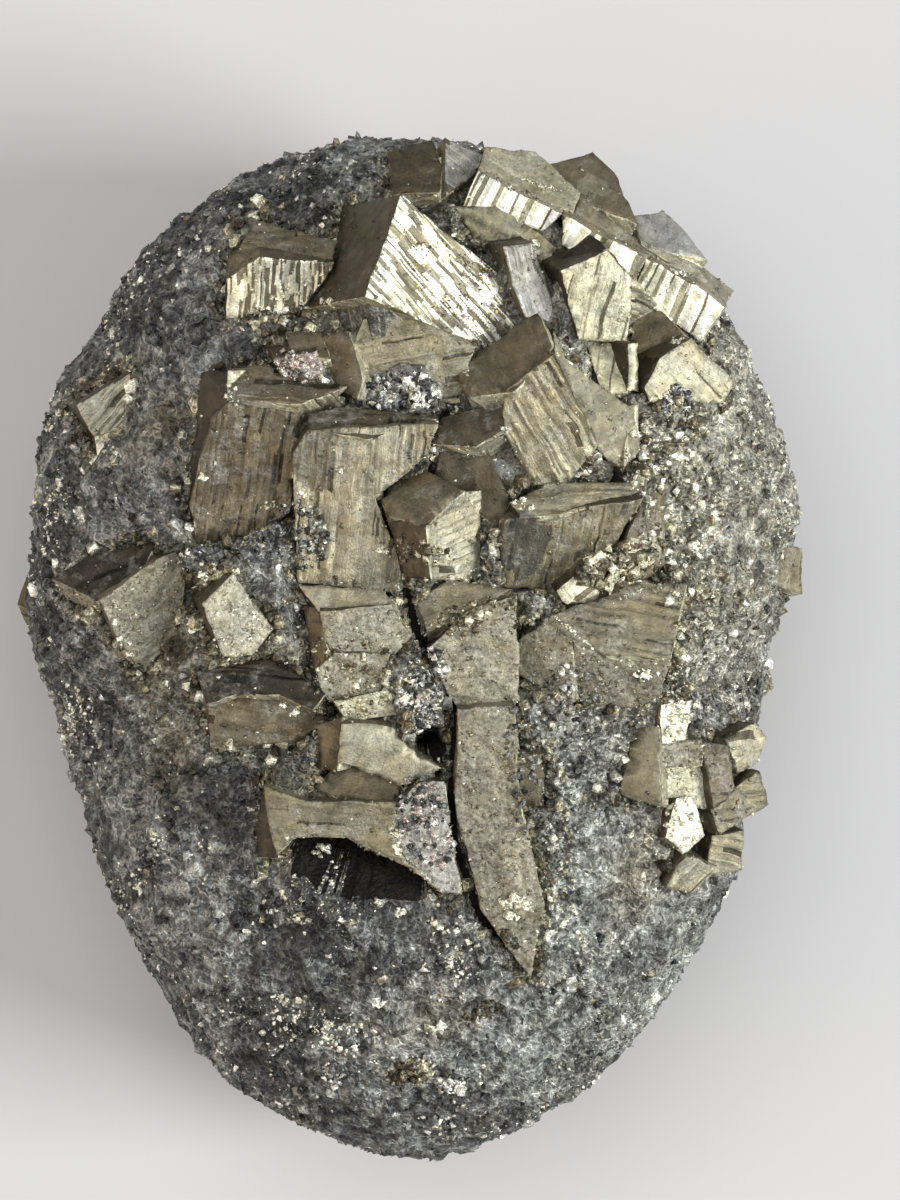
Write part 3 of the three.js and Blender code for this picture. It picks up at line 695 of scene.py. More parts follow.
class Skin:
    """The matrix's skin: smooth and closed under and between the crystals, and then with its grains."""

    def __init__(self, matrix_tree, crystal_tree):
        low, high = (np.array(corner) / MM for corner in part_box("matrix"))
        self.middle = (low + high) / 2
        radii = (high - low) / 2
        even, self.triangles = ball(SKIN_SPLITS)
        ways = unit(crowded(even, SKIN_BIAS) * radii)
        self.ways = unit(ways + RNG.normal(size=ways.shape) * SKIN_JITTER / SKIN_SPLITS)
        sides = np.vstack([self.triangles[:, [k, (k + 1) % 3]] for k in range(3)])
        self.edges = np.unique(np.sort(sides, axis=1), axis=0)
        self.measure(matrix_tree, crystal_tree, radii)
        self.smooth_tree = tree_of(self.at(self.reach), self.triangles)
        self.roughen()
        self.nearness = nearness_of(self.points, crystal_tree)[self.triangles].mean(1)

    def at(self, distances):
        """The spots at these distances from the middle."""
        return self.middle + self.ways * np.asarray(distances)[..., None]

    def measure(self, matrix_tree, crystal_tree, radii):
        """Finds how far out the smooth skin lies, and the crystals over it."""
        far = 2 * radii.max()
        starts = self.at(far)
        reach = far - hits(matrix_tree, starts, -self.ways)[0]
        depths, normals = hits(crystal_tree, starts, -self.ways, far)
        self.over = far - depths
        known = self.over < reach
        squarely = (normals * self.ways).sum(1)
        self.bared = ~known & ((squarely > SQUARE) | ((normals[:, 2] > LEVEL) & (squarely > 0)))
        # The matrix is followed only where no crystal lies over it or against it.
        for i in np.flatnonzero(known):
            spot = self.middle + self.ways[i] * reach[i]
            known[i] = crystal_tree.find_nearest(spot.tolist(), CONTACT)[3] is None
        reach = self.carried(reach, known, radii)
        # Between crystals it is raised to a little under their facets.
        packed = np.where(self.bared, np.maximum(self.over - SUNK, reach), reach)
        self.reach = evened(closed(packed, self.edges, PACKING), self.edges, SKIN_EVENING)

    def carried(self, reach, known, radii):
        """The reach carried on from where it is known over the sockets, as a share of an ellipsoid's."""
        plain = 1 / np.linalg.norm(self.ways / radii, axis=1)
        share = closed(np.where(known, reach / plain, -np.inf), self.edges, CLOSING)
        known = np.isfinite(share)
        return evened(np.where(known, share, share[known].mean()), self.edges, SOCKET_EVENING, known) * plain

    def limits(self):
        """How far out the skin may lie: under the bared facets, in the hollows and along the cracks."""
        limits = np.where(self.bared, self.over - COVER, np.inf)
        spots = self.at(self.reach)
        upward = self.ways[:, 2] > UPWARD
        for *ellipse, floor in HOLLOWS:
            sinking = within(spots, *ellipse) & upward
            depth = self.reach.copy()
            while sinking.any():
                depth[sinking] -= PIT_STEP
                below = self.at(depth)
                sinking &= within(below, *ellipse) & (below[:, 2] > floor)
            limits = np.where(depth < self.reach, np.minimum(limits, depth), limits)
        split = cracked(spots) & upward
        limits = np.where(split, np.minimum(limits, self.reach - CRACK_DEPTH), limits)
        return banked(limits, self.edges)

    def roughen(self):
        """Raises the grains on the smooth skin, and flattens the belly that it lies on."""
        raised, self.lots = roughened(self.at(self.reach))
        raised *= np.clip(FLANK_RELIEF + self.ways[:, 2], FLANK_RELIEF, 1)
        outer = np.minimum(self.reach + raised, self.limits() + SUNK_RELIEF * raised)
        self.points = self.at(outer)
        self.points[:, 2] = np.maximum(self.points[:, 2], 0)
        self.spots = self.points[self.triangles].mean(1)
        self.outwards = unit(crosses(self.points, self.triangles))
        self.shown = (self.over > outer)[self.triangles].sum(1) < 2
        self.high = (self.spots[:, 2] > self.middle[2] + FLANK_HEIGHT) & self.shown

    def depth_of(self, points):
        """How far under the smooth skin each point lies, along a line from the middle."""
        away = points - self.middle
        starts = np.broadcast_to(self.middle, points.shape)
        return hits(self.smooth_tree, starts, unit(away))[0] - np.linalg.norm(away, axis=1)


def blended(first, second, share):
    """One colour turning into another by a share from 0 to 1 for each row."""
    share = np.clip(share, 0, 1)[:, None]
    return np.asarray(first) * (1 - share) + np.asarray(second) * share


def with_alpha(colours):
    """The colours as a mesh keeps them, with a fourth value of 1."""
    return np.hstack([np.clip(colours, 0, 1), np.ones((len(colours), 1))])


def nearness_of(points, crystal_tree):
    """How near the crystals each point lies: 1 against them and 0 where none is near."""
    away = np.full(len(points), CRUST_REACH)
    for i, point in enumerate(points.tolist()):
        distance = crystal_tree.find_nearest(point, CRUST_REACH)[3]
        if distance is not None:
            away[i] = distance
    return 1 - away / CRUST_REACH


def painted_shade_places(spots):
    """Which spots lie in a hollow or a crack, seen from above, where the matrix is painted near black as
    shade.
    """
    dark = cracked(spots)
    for x, y, length, width, turn, _ in HOLLOWS:
        dark |= within(spots, x, y, PIT_SHARE * length, PIT_SHARE * width, turn)
    return dark & (spots[:, 2] > PIT_HEIGHT)


def matrix_tones(spots, nearness):
    """The colour of the matrix at each spot: lead grey with darker, browner and paler drifts, and khaki near
    the crystals; painted light makes it paler and khakier towards the right and the top, and painted shade
    makes it near black in the hollows and the cracks."""
    drift = rugged(spots, 4, seed=31) + 0.9 * rugged(spots, 1.4, seed=34)
    grain = grains(spots, FINE_GRAIN, seed=32)[1]
    # Painted light: the matrix is paler towards the right and the top, where the window light falls on it.
    right = ramp(spots[:, 0], -4, 14) * ramp(spots[:, 2], 12, 22)
    share = 0.32 + 0.65 * drift + 0.8 * (grain[:, 0] - 0.5) + 0.42 * right
    colours = blended(TONES["soot"], TONES["lead"], share)
    brown = rugged(spots, 7, seed=33) - 0.3 + 0.2 * (grain[:, 1] - 0.5)
    colours = blended(colours, TONES["brown"], 1.3 * brown)
    # The khaki near the crystals is the matrix's own; the khaki towards the right and the top is painted
    # light.
    warm = np.maximum((0.15 + 0.35 * ramp(spots[:, 1], -6, 2)) * right, 0.45 * nearness)
    colours = blended(colours, TONES["khaki"], warm * (0.5 + 0.9 * grain[:, 2]))
    # Painted shade: the hollows and the cracks are near black.
    return np.where(painted_shade_places(spots)[:, None], np.array(TONES["black"]) * 0.2, colours)


def ramp(values, start, end):
    """How far each value lies on the way from start to end, from 0 to 1."""
    return np.clip((values - start) / (end - start), 0, 1)


def shaded(colours, factors):
    """The colours, each brighter or darker by its factor."""
    return colours * np.maximum(factors, 0)[:, None]


def stained(colours, spots):
    """The crystals' colours with the stains, ragged at their edges."""
    for x, y, length, width, turn, tone, share in STAINS:
        near = np.flatnonzero(within(spots, x, y, 1.5 * length, 1.5 * width, turn))
        if near.size:
            bent = spots[near] + 0.6 * rugged(spots[near], 0.9, seed=81)[:, None]
            hit = near[within(bent, x, y, length, width, turn)]
            colours[hit] = blended(colours[hit], np.array(TONES[tone]), np.full(hit.size, share))
    return colours


# ---- The crystals' facets ----


def facets_of(points, triangles):
    """The flat facets of a solid, each as a list of the triangles that share edges and a plane."""
    normals = unit(crosses(points, triangles))
    beside = {}
    for t, triangle in enumerate(triangles.tolist()):
        for a, b in zip(triangle, triangle[1:] + triangle[:1]):
            beside.setdefault((min(a, b), max(a, b)), []).append(t)
    leader = list(range(len(triangles)))

    def lead(t):
        while leader[t] != t:
            t = leader[t]
        return t

    for pair in beside.values():
        if len(pair) == 2 and normals[pair[0]] @ normals[pair[1]] > FLAT:
            leader[lead(pair[0])] = lead(pair[1])
    facets = {}
    for t in range(len(triangles)):
        facets.setdefault(lead(t), []).append(t)
    return list(facets.values())


def inside(spots, starts, ends):
    """Which spots lie inside the closed outlines whose edges run from starts to ends."""
    x, y = spots[:, :1], spots[:, 1:]
    rise = ends[:, 1] - starts[:, 1]
    crossed = (starts[:, 1] > y) != (ends[:, 1] > y)
    at = starts[:, 0] + (y - starts[:, 1]) / np.where(rise == 0, 1, rise) * (ends[:, 0] - starts[:, 0])
    return (crossed & (x < at)).sum(1) % 2 == 1


class Facet:
    """One flat facet of a crystal, with its striations."""

    def __init__(self, origin, normal, look):
        tone, style, angle = look
        self.tone = np.array(TONES[tone])
        self.style = STYLES[style]
        self.origin = origin
        self.normal = normal
        plan = np.array([math.cos(math.radians(angle)), math.sin(math.radians(angle)), 0])
        along = plan - (plan @ normal) * normal
        if np.linalg.norm(along) < ACROSS_ONLY:
            along = np.cross(normal, (0, 0, 1))
        self.along = unit(along)
        self.across = np.cross(normal, self.along)
        self.seed = int(RNG.integers(1, 10000))

    def flat(self, points):
        """Places in the facet's own plane: along and across its striations."""
        return (points - self.origin) @ np.stack([self.along, self.across], axis=1)

    def rule(self, low, high):
        """Rules the striations from the lowest to the highest place across."""
        narrow, wide = self.style.widths
        count = int((high - low) / narrow) + 2
        widths = narrow + (wide - narrow) * RNG.random(count) ** 2
        self.breaks = low + np.cumsum(widths) - widths[0] * RNG.random()
        self.breaks = self.breaks[self.breaks < high]
        self.levels = RNG.uniform(-1, 1, len(self.breaks) + 1)
        self.tilts = RNG.uniform(-1, 1, len(self.breaks) + 1)
        self.middles = np.concatenate([[low], self.breaks]) + widths[: len(self.breaks) + 1] / 2

    def wave(self, along):
        """How far the striations waver at each place along them."""
        line = np.stack([along, along * 0, along * 0 + self.seed], axis=1)
        return self.style.waver * rugged(line, WAVE_LENGTH, self.seed)

    def stepped(self, low, high):
        """Places along both sides of every step between two striations."""
        pitch = self.style.pitch
        rows = [np.empty((0, 2))]
        for place in self.breaks:
            along = np.arange(low + pitch * RNG.random(), high, pitch)
            for side in (-STEP_WIDTH / 2, STEP_WIDTH / 2):
                rows.append(np.stack([along, along * 0 + place + side], axis=1))
        spots = np.vstack(rows)
        spots[:, 1] += self.wave(spots[:, 0])
        return spots

    def strips(self, flat):
        """The striation that each place lies in, and a random number from 0 to 1 for its stretch of it."""
        strip = np.searchsorted(self.breaks, flat[:, 1] - self.wave(flat[:, 0]))
        stretch = np.floor(flat[:, 0] / self.style.run + 7 * hashed(np.stack([strip] * 3, 1), self.seed))
        cells = np.stack([strip, stretch, stretch * 0], axis=1)
        return strip, hashed(cells, self.seed + 1)

    def relief(self, points):
        """How far the facet stands out of its plane at each point."""
        flat = self.flat(points)
        strip, lot = self.strips(flat)
        style = self.style
        height = style.step * (self.levels[strip] + 2 * lot - 1) / 2
        across = flat[:, 1] - self.wave(flat[:, 0]) - self.middles[strip]
        height += style.tilt * self.tilts[strip] * across / 2
        height += style.rough * rugged(points, 0.7, self.seed)
        return height + 0.035 * noise(points, 2.5, self.seed + 5)

    def colours(self, spots):
        """The tone of each spot: its striation's, with drifts and a few bright and dark specks."""
        flat = self.flat(spots)
        strip, lot = self.strips(flat)
        factor = 1 + self.style.stripes * (self.levels[strip] + 1.2 * lot - 0.6)
        dark = (lot < self.style.dark)[:, None] * (1 - DARKENED * np.array((1, 0.93, 0.8)))
        factor *= 1 + 0.2 * rugged(spots, 2.2, self.seed + 2) + 0.14 * rugged(spots, 0.8, self.seed + 9)
        factor *= 1 + 0.3 * (grains(spots, 0.35, self.seed + 7)[1][:, 0] - 0.5)
        colours = self.tone * np.maximum(factor, 0.1)[:, None] * (1 - dark)
        warm = rugged(spots, 1.6, self.seed + 3)
        return blended(colours * (0.97, 1.0, 1.06), colours * (1.04, 1.0, 0.92), 0.5 + warm)


def usual_look(normal):
    """The look of a facet that isn't listed, with painted light and shade: dark and smooth where it leans
    left or up the nodule, away from the window light, paler and striated where it leans right or down,
    towards it."""
    # Painted light and shade: how far the facet faces the window light picks a paler or a darker tone.
    light = 0.8 * normal[0] - 0.6 * normal[1]
    draw = RNG.random()
    angle = float(RNG.uniform(0, 180))
    if light < -0.25:
        return ("umber" if draw < 0.6 else "brown", "smooth", angle)
    if light < 0.25:
        return ("olive" if draw < 0.5 else "khaki", "lined" if draw < 0.7 else "granular", angle)
    return ("tan" if draw < 0.5 else "sand", "striated" if draw < 0.6 else "lined", angle)


def wound(places, faces):
    """Flat triangles with their corners turned to run anticlockwise."""
    sides = np.diff(places[faces], axis=1)
    clockwise = sides[:, 0, 0] * sides[:, 1, 1] - sides[:, 0, 1] * sides[:, 1, 0] < 0
    faces[clockwise] = faces[clockwise][:, ::-1]
    return faces


class Crystals:
    """A CAD node's crystals, whose facets are ruled with striations and worn at their edges."""

    def __init__(self, node, depth_of):
        self.corners, self.triangles = read(node)
        self.depth_of = depth_of
        self.sunk = depth_of(self.corners) > DEEP
        self.points = list(self.corners)
        self.chains = {}
        self.facets = []
        self.rows = []
        facets = facets_of(self.corners, self.triangles)
        looks = self.listed_looks(node, facets)
        for number, members in enumerate(facets):
            self.dress(self.triangles[members], looks.get(number))

    def listed_looks(self, node, facets):
        """The looks that are listed for the node's facets, by the number of the facet."""
        tree = tree_of(self.corners, self.triangles)
        owner = np.empty(len(self.triangles), int)
        for number, members in enumerate(facets):
            owner[members] = number
        looks = {}
        for x, y, *look in LOOKS.get(node, []):
            found = tree.ray_cast((x, y, SKY), (0, 0, -1))[2]
            if found is not None:
                looks[owner[found]] = look
        return looks

    def chain(self, a, b):
        """The points along the edge between two corners, which the facets on both sides of it share."""
        key = (min(a, b), max(a, b))
        if key not in self.chains:
            start, end = self.corners[key[0]], self.corners[key[1]]
            plain = self.sunk[key[0]] and self.sunk[key[1]]
            parts = 1 if plain else max(1, round(np.linalg.norm(end - start) / EDGE_STEP))
            made = [len(self.points) + k for k in range(parts - 1)]
            self.points.extend(start + (end - start) * (k + 1) / parts for k in range(parts - 1))
            self.chains[key] = [key[0], *made, key[1]]
        return self.chains[key] if a == key[0] else self.chains[key][::-1]

    def border(self, own):
        """The chains of points around a facet, given its own triangles."""
        directed = {(t[i], t[i - 2]) for t in own.tolist() for i in range(3)}
        return [self.chain(a, b) for a, b in sorted(directed) if (b, a) not in directed]

    def paved(self, facet, chains, plain):
        """The triangles laid between a facet's border and its striations: the numbers of their points and
        their places in the facet's plane."""
        # The border in the facet's own plane, as points and the links between them.
        rim = sorted({i for chain in chains for i in chain})
        place = {i: k for k, i in enumerate(rim)}
        links = [(place[a], place[b]) for chain in chains for a, b in zip(chain, chain[1:])]
        outline = facet.flat(np.array([self.points[i] for i in rim]))
        starts, ends = (outline[[link[k] for link in links]] for k in (0, 1))
        low, high = outline.min(0), outline.max(0)
        # The striations' points that lie inside it, clear of its edges.
        facet.rule(low[1], high[1])
        laid = outline
        if not plain:
            spots = facet.stepped(low[0], high[0])
            spots = spots[inside(spots, starts, ends)]
            laid = np.vstack([outline, spots[clear_of(spots, starts, ends, MARGIN)]])
        # The triangles between them, with a new point of the mesh for each spot that isn't on the border.
        paving = delaunay_2d_cdt([Vector(spot) for spot in laid], links, [], 0, TOUCHING)
        places, faces, sources = np.array([tuple(spot) for spot in paving[0]]), np.array(paving[2]), paving[3]
        numbers = []
        for spot, source in zip(paving[0], sources):
            if source and source[0] < len(rim):
                numbers.append(rim[source[0]])
            else:
                numbers.append(len(self.points))
                self.points.append(facet.origin + facet.along * spot[0] + facet.across * spot[1])
        faces = wound(places, faces[inside(places[faces].mean(1), starts, ends)])
        return np.array(numbers)[faces], places[faces]

    def dress(self, own, look):
        """Rules one facet, paves it and colours it."""
        normal = unit(crosses(self.corners, own).sum(0))
        facet = Facet(self.corners[own].mean((0, 1)), normal, look or usual_look(normal))
        chains = self.border(own)
        plain = self.sunk[own].all()
        triangles, places = self.paved(facet, chains, plain)
        middles = np.array([self.points[i] for i in triangles.ravel()]).reshape(-1, 3, 3).mean(1)
        count, style = len(triangles), facet.style
        streak = np.dstack([places, np.full((count, 3), facet.seed % STREAK_SHEETS)])
        self.facets.append((facet, np.unique(triangles)))
        self.rows.append({
            "triangles": triangles,
            "tint": with_alpha(stained(facet.colours(middles), middles)),
            "streak": streak.reshape(-1, 3),
            "polish": np.full(count, style.polish),
            "crust": np.full(count, 0 if plain else style.crust),
            "frost": np.full(count, style.frost),
            "lines": np.full(count, style.lines),
        })

    def worn(self):
        """The points with the relief of their facets, the edges worn back and the whole a little bent."""
        points = np.array(self.points)
        shift, lean = np.zeros_like(points), np.zeros_like(points)
        count = np.zeros(len(points))
        for facet, used in self.facets:
            shift[used] += facet.relief(points[used])[:, None] * facet.normal
            lean[used] += facet.normal
            count[used] += 1
        shift /= np.maximum(count, 1)[:, None]
        edge = (count > 1) & (np.linalg.norm(lean, axis=1) < ROUND * count)
        wear = WEAR * np.clip(0.35 + rugged(points, 0.6, seed=41), 0, 1)
        shift[edge] -= unit(lean[edge]) * wear[edge, None]
        shift[self.depth_of(points) > DEEP + DEEPER] = 0
        bends = [
            noise(points, 1.7, seed=61 + k) * 0.13 + noise(points, 0.55, seed=64 + k) * 0.05 for k in range(3)
        ]
        return points + shift + np.stack(bends, axis=1)

    def made(self):
        """The triangles and, for each of them or of their corners, the attributes of its facet."""
        return {key: np.concatenate([row[key] for row in self.rows]) for key in self.rows[0]}


# ---- Small crystals ----

# The corners and triangles of a small blocky crystal and of a broken grain.
BLOCK = (
    np.array([(x, y, z) for x in (-1, 1) for y in (-1, 1) for z in (-1, 1)], float),
    np.array(
        [(0, 1, 3), (0, 3, 2), (4, 6, 7), (4, 7, 5), (0, 4, 5), (0, 5, 1)]
        + [(2, 3, 7), (2, 7, 6), (0, 2, 6), (0, 6, 4), (1, 5, 7), (1, 7, 3)]
    ),
)
SHARD = (
    np.array([(1, 1, 1), (1, -1, -1), (-1, 1, -1), (-1, -1, 1)], float),
    np.array([(0, 1, 2), (0, 3, 1), (0, 2, 3), (1, 3, 2)]),
)


def turned(count):
    """Random rotation matrices."""
    w, x, y, z = unit(RNG.normal(size=(count, 4))).T
    rows = [
        [1 - 2 * (y * y + z * z), 2 * (x * y - z * w), 2 * (x * z + y * w)],
        [2 * (x * y + z * w), 1 - 2 * (x * x + z * z), 2 * (y * z - x * w)],
        [2 * (x * z - y * w), 2 * (y * z + x * w), 1 - 2 * (x * x + y * y)],
    ]
    return np.array(rows).transpose(2, 0, 1)


def strewn(shape, spots, sizes, colours, polish, turns=None):
    """Small crystals of one shape at the spots: points, triangles, and for each triangle its colour, the
    places of its corners along and across its face and its polish."""
    outline, faces = shape
    count, sides = len(spots), len(faces)
    corners = outline * RNG.uniform(SHORTEST, 1, (count, 1, 3)) * sizes[:, None, None]
    taper = 1 - RNG.uniform(0, TAPER, (count, 1)) * (outline[:, 2] > 0)
    corners[..., :2] *= taper[..., None]
    corners += RNG.normal(scale=SKEW, size=corners.shape) * sizes[:, None, None]
    points = np.einsum("nij,nkj->nki", turned(count) if turns is None else turns, corners) + spots[:, None]
    triangles = faces + len(outline) * np.arange(count)[:, None, None]
    pairs = max(1, sides // 6)  # the two triangles of a block's face have one tone
    lots = np.repeat(1 + SHADING * RNG.uniform(-1, 1, (count, sides // pairs)), pairs, axis=1)
    tints = np.repeat(colours[:, None], sides, axis=1) * lots[..., None]
    flat = corners[:, faces] * (1, 1, 0)
    flat[..., 2] = RNG.integers(1, STREAK_SHEETS, (count, 1, 1))
    return (
        points.reshape(-1, 3),
        triangles.reshape(-1, 3),
        with_alpha(tints.reshape(-1, 3)),
        flat.reshape(-1, 3),
        np.repeat(polish, sides),
    )


def facing(outwards, tilt):
    """Rotations that turn each crystal's upper face outwards, give or take a tilt, and spin it at random."""
    up = unit(outwards + RNG.normal(scale=tilt, size=outwards.shape))
    side = unit(np.cross(up, RNG.normal(size=up.shape)))
    return np.stack([side, np.cross(up, side), up], axis=2)


def scattered(points, triangles, chances, count):
    """Random spots on a mesh, with their triangles, by each triangle's area times its chance."""
    weights = np.linalg.norm(crosses(points, triangles), axis=1) * chances
    chosen = RNG.choice(len(triangles), count, p=weights / weights.sum())
    shares = RNG.dirichlet((1, 1, 1), count)
    return (points[triangles[chosen]] * shares[..., None]).sum(1), chosen


def mixed(mix, own):
    """A tone for each small crystal out of a mix, where "own" is the tone given for it, and its polish."""
    shares = np.array(list(MIXES[mix].values()))
    choice = RNG.choice(len(shares), len(own), p=shares / shares.sum())
    picked = np.array([TONES.get(tone, (0, 0, 0)) for tone in MIXES[mix]])[choice]
    keep = np.array([tone == "own" for tone in MIXES[mix]])[choice]
    tint = np.where(keep[:, None], own * RNG.uniform(0.6, 1.6, (len(own), 1)), picked)
    return tint, np.where(keep, RNG.uniform(0.2, 0.8, len(own)), RNG.uniform(0.6, 1.0, len(own)))


def sized(sizes, count):
    """Random sizes from the smallest to the largest, most of them small."""
    return sizes[0] + (sizes[1] - sizes[0]) * RNG.random(count) ** 3


def placed(x, y, length, width, turn, count):
    """Random spots high over a turned ellipse in plan."""
    out, around = np.sqrt(RNG.random(count)), RNG.uniform(0, 2 * math.pi, count)
    along, across = out * length * np.cos(around), out * width * np.sin(around)
    c, s = math.cos(math.radians(turn)), math.sin(math.radians(turn))
    return np.stack([x + along * c - across * s, y + along * s + across * c, np.full(count, SKY)], axis=1)


# ---- Materials ----


class Shader:
    """A material with its surface shader, built a node at a time."""

    def __init__(self, name):
        self.material = bpy.data.materials.new(name)
        self.material.use_nodes = True
        self.tree = self.material.node_tree
        self.surface = self.tree.nodes["Principled BSDF"]

    def node(self, kind, inputs, output=0, **settings):
        """Adds a node with its inputs linked or set, and gives its output."""
        made = self.tree.nodes.new(kind)
        for key, value in settings.items():
            setattr(made, key, value)
        for key, value in inputs.items():
            if isinstance(value, bpy.types.NodeSocket):
                self.tree.links.new(value, made.inputs[key])
            else:
                made.inputs[key].default_value = value
        return made.outputs[output]

    def attribute(self, name, output):
        """What a piece's mesh says under this name."""
        return self.node("ShaderNodeAttribute", {}, output, attribute_name=name)

    def noise(self, vector, spacing, detail=4.0, roughness=0.6):
        """Noise with features about the spacing apart."""
        inputs = {"Vector": vector, "Scale": 1 / spacing, "Detail": detail, "Roughness": roughness}
        return self.node("ShaderNodeTexNoise", inputs, "Fac")

    def ranged(self, value, low, high, start=0.3, end=0.7):
        """The value from start to end turned into low to high."""
        inputs = {"Value": value, "From Min": start, "From Max": end, "To Min": low, "To Max": high}
        return self.node("ShaderNodeMapRange", inputs)

    def math(self, operation, *values):
        """The values added, multiplied or the like."""
        return self.node("ShaderNodeMath", dict(enumerate(values)), operation=operation)

    def scaled(self, colour, factor):
        """A colour or a vector times a factor."""
        return self.node("ShaderNodeVectorMath", {0: colour, "Scale": factor}, operation="SCALE")

    def mixed(self, share, first, second):
        """One colour turning into another."""
        inputs = {"Factor": share, 6: first, 7: second}
        return self.node("ShaderNodeMix", inputs, 2, data_type="RGBA")

    def bumped(self, height, distance, strength=1.0):
        """Makes the surface look raised, by the distance where the height is 1."""
        inputs = {"Height": height, "Distance": distance, "Strength": strength}
        self.tree.links.new(self.node("ShaderNodeBump", inputs), self.surface.inputs["Normal"])

    def finish(self, colour, roughness, metallic):
        """Gives the finished material."""
        self.tree.links.new(colour, self.surface.inputs["Base Color"])
        self.tree.links.new(roughness, self.surface.inputs["Roughness"])
        self.surface.inputs["Metallic"].default_value = metallic
        return self.material


def crystal_material():
    """Tarnished brassy metal, finely striated along each facet's own direction and frosted with grey
    grains."""
    shader = Shader("crystal")
    place = shader.node("ShaderNodeTexCoord", {}, "Object")
    streak = shader.attribute("streak", "Vector")
    lined = shader.attribute("lines", "Fac")
    # Striations along the facet, with patches and grit over them.
    stretched = shader.node("ShaderNodeVectorMath", {0: streak, 1: (1.6, 8, 1)}, operation="MULTIPLY")
    lines = shader.noise(stretched, 1.0, 5)
    patches = shader.noise(place, 0.9 * MM)
    grit = shader.noise(place, 0.13 * MM, 3)
    fine = shader.node("ShaderNodeVectorMath", {0: streak, 1: (0.7, 13, 1)}, operation="MULTIPLY")
    ridges = shader.ranged(shader.noise(fine, 1.0, 2), 0.0, 0.45, 0.56, 0.66)
    ridges = shader.math("ADD", ridges, shader.ranged(lines, -0.2, 0.2))
    ridges = shader.math("ADD", shader.math("MULTIPLY", ridges, lined), 1)
    factor = shader.math("MULTIPLY", ridges, shader.ranged(patches, 0.7, 1.3))
    factor = shader.math("MULTIPLY", factor, shader.ranged(grit, 0.75, 1.25))
    tint = shader.attribute("tint", "Color")
    colour = shader.scaled(tint, factor)
    # Grey frost in drifts, most of it where the facet is frosted.
    drift = shader.noise(place, 1.5 * MM, 5, 0.72)
    frosted = shader.math("ADD", drift, shader.math("MULTIPLY", shader.attribute("frost", "Fac"), 0.24))
    frosted = shader.ranged(frosted, 0, 0.8, 0.58, 0.68)
    grey = shader.mixed(0.4, tint, (*TONES["grey"], 1))
    speckles = shader.noise(place, 0.22 * MM, 4, 0.7)
    grey = shader.scaled(grey, shader.ranged(speckles, 0.3, 1.75))
    colour = shader.mixed(frosted, colour, grey)
    dull = shader.math("SUBTRACT", 0.72, shader.math("MULTIPLY", shader.attribute("polish", "Fac"), 0.45))
    roughness = shader.math("MULTIPLY", dull, shader.ranged(grit, 0.75, 1.3))
    height = shader.math("ADD", shader.math("MULTIPLY", lines, lined), shader.math("MULTIPLY", grit, 0.8))
    shader.bumped(shader.math("ADD", height, shader.math("MULTIPLY", frosted, speckles)), 0.05 * MM)
    return shader.finish(colour, roughness, 0.6)


def matrix_material():
    """Fine-grained lead-grey sulphide, its grains with paler rims."""
    shader = Shader("matrix")
    place = shader.node("ShaderNodeTexCoord", {}, "Object")
    grit = shader.noise(place, 0.16 * MM)
    patches = shader.noise(place, 1.3 * MM, 5, 0.72)
    # Grains as crooked cells, paler towards their rims.
    bend = shader.node("ShaderNodeTexNoise", {"Vector": place, "Scale": 1 / (0.5 * MM)}, "Color")
    bent = shader.node("ShaderNodeVectorMath", {0: place, 1: shader.scaled(bend, 0.35 * MM)}, operation="ADD")
    cells = {"Vector": bent, "Scale": 1 / (0.42 * MM)}
    inside = shader.node("ShaderNodeTexVoronoi", cells, "Distance", feature="DISTANCE_TO_EDGE")
    rims = shader.ranged(inside, 1.4, 0.62, 0.0, 0.28)
    mottled = shader.ranged(patches, 0.3, 1.85, 0.36, 0.66)
    factor = shader.math("MULTIPLY", shader.ranged(grit, 0.65, 1.4), mottled)
    factor = shader.math("MULTIPLY", factor, rims)
    colour = shader.scaled(shader.attribute("tint", "Color"), factor)
    dull = shader.math("SUBTRACT", 0.75, shader.math("MULTIPLY", shader.attribute("polish", "Fac"), 0.5))
    roughness = shader.math("MULTIPLY", dull, shader.ranged(grit, 0.75, 1.3))
    height = shader.math("ADD", shader.math("MULTIPLY", grit, 0.6), rims)
    shader.bumped(height, 0.1 * MM)
    return shader.finish(colour, roughness, 0.5)


def floor_material():
    """A plain pale surface with the faintest unevenness."""
    shader = Shader("floor")
    place = shader.node("ShaderNodeTexCoord", {}, "Object")
    patches = shader.noise(place, 60 * MM, 2)
    grit = shader.noise(place, 0.7 * MM, 3)
    pale = shader.node("ShaderNodeRGB", {})
    pale.default_value = (*linear(197, 197, 199), 1)
    colour = shader.scaled(pale, shader.ranged(patches, 0.98, 1.02))
    shader.bumped(grit, 0.02 * MM, 0.3)
    shader.surface.inputs["Specular IOR Level"].default_value = 0.1
    return shader.finish(colour, shader.ranged(patches, 0.8, 0.9), 0.0)


# ---- Light, floor and camera ----


def add_light(name, azimuth, elevation, distance, size, power, colour):
    """A soft square light that shines on the middle of the nodule from a direction."""
    around, up = math.radians(azimuth), math.radians(elevation)
    way = Vector((math.cos(up) * math.cos(around), math.cos(up) * math.sin(around), math.sin(up)))
    light = bpy.data.lights.new(name, "AREA")
    light.size = size
    light.energy = power
    light.color = colour
    made = bpy.data.objects.new(name, light)
    made.location = way * distance
    made.rotation_euler = way.to_track_quat("Z", "Y").to_euler()
    bpy.context.scene.collection.objects.link(made)


def add_surroundings():
    """A pale, even room."""
    world = bpy.data.worlds.new("surroundings")
    world.use_nodes = True
    background = world.node_tree.nodes["Background"]
    background.inputs["Color"].default_value = (0.84, 0.85, 0.85, 1)
    background.inputs["Strength"].default_value = 0.45
    bpy.context.scene.world = world
    bpy.context.scene.view_settings.view_transform = "Standard"


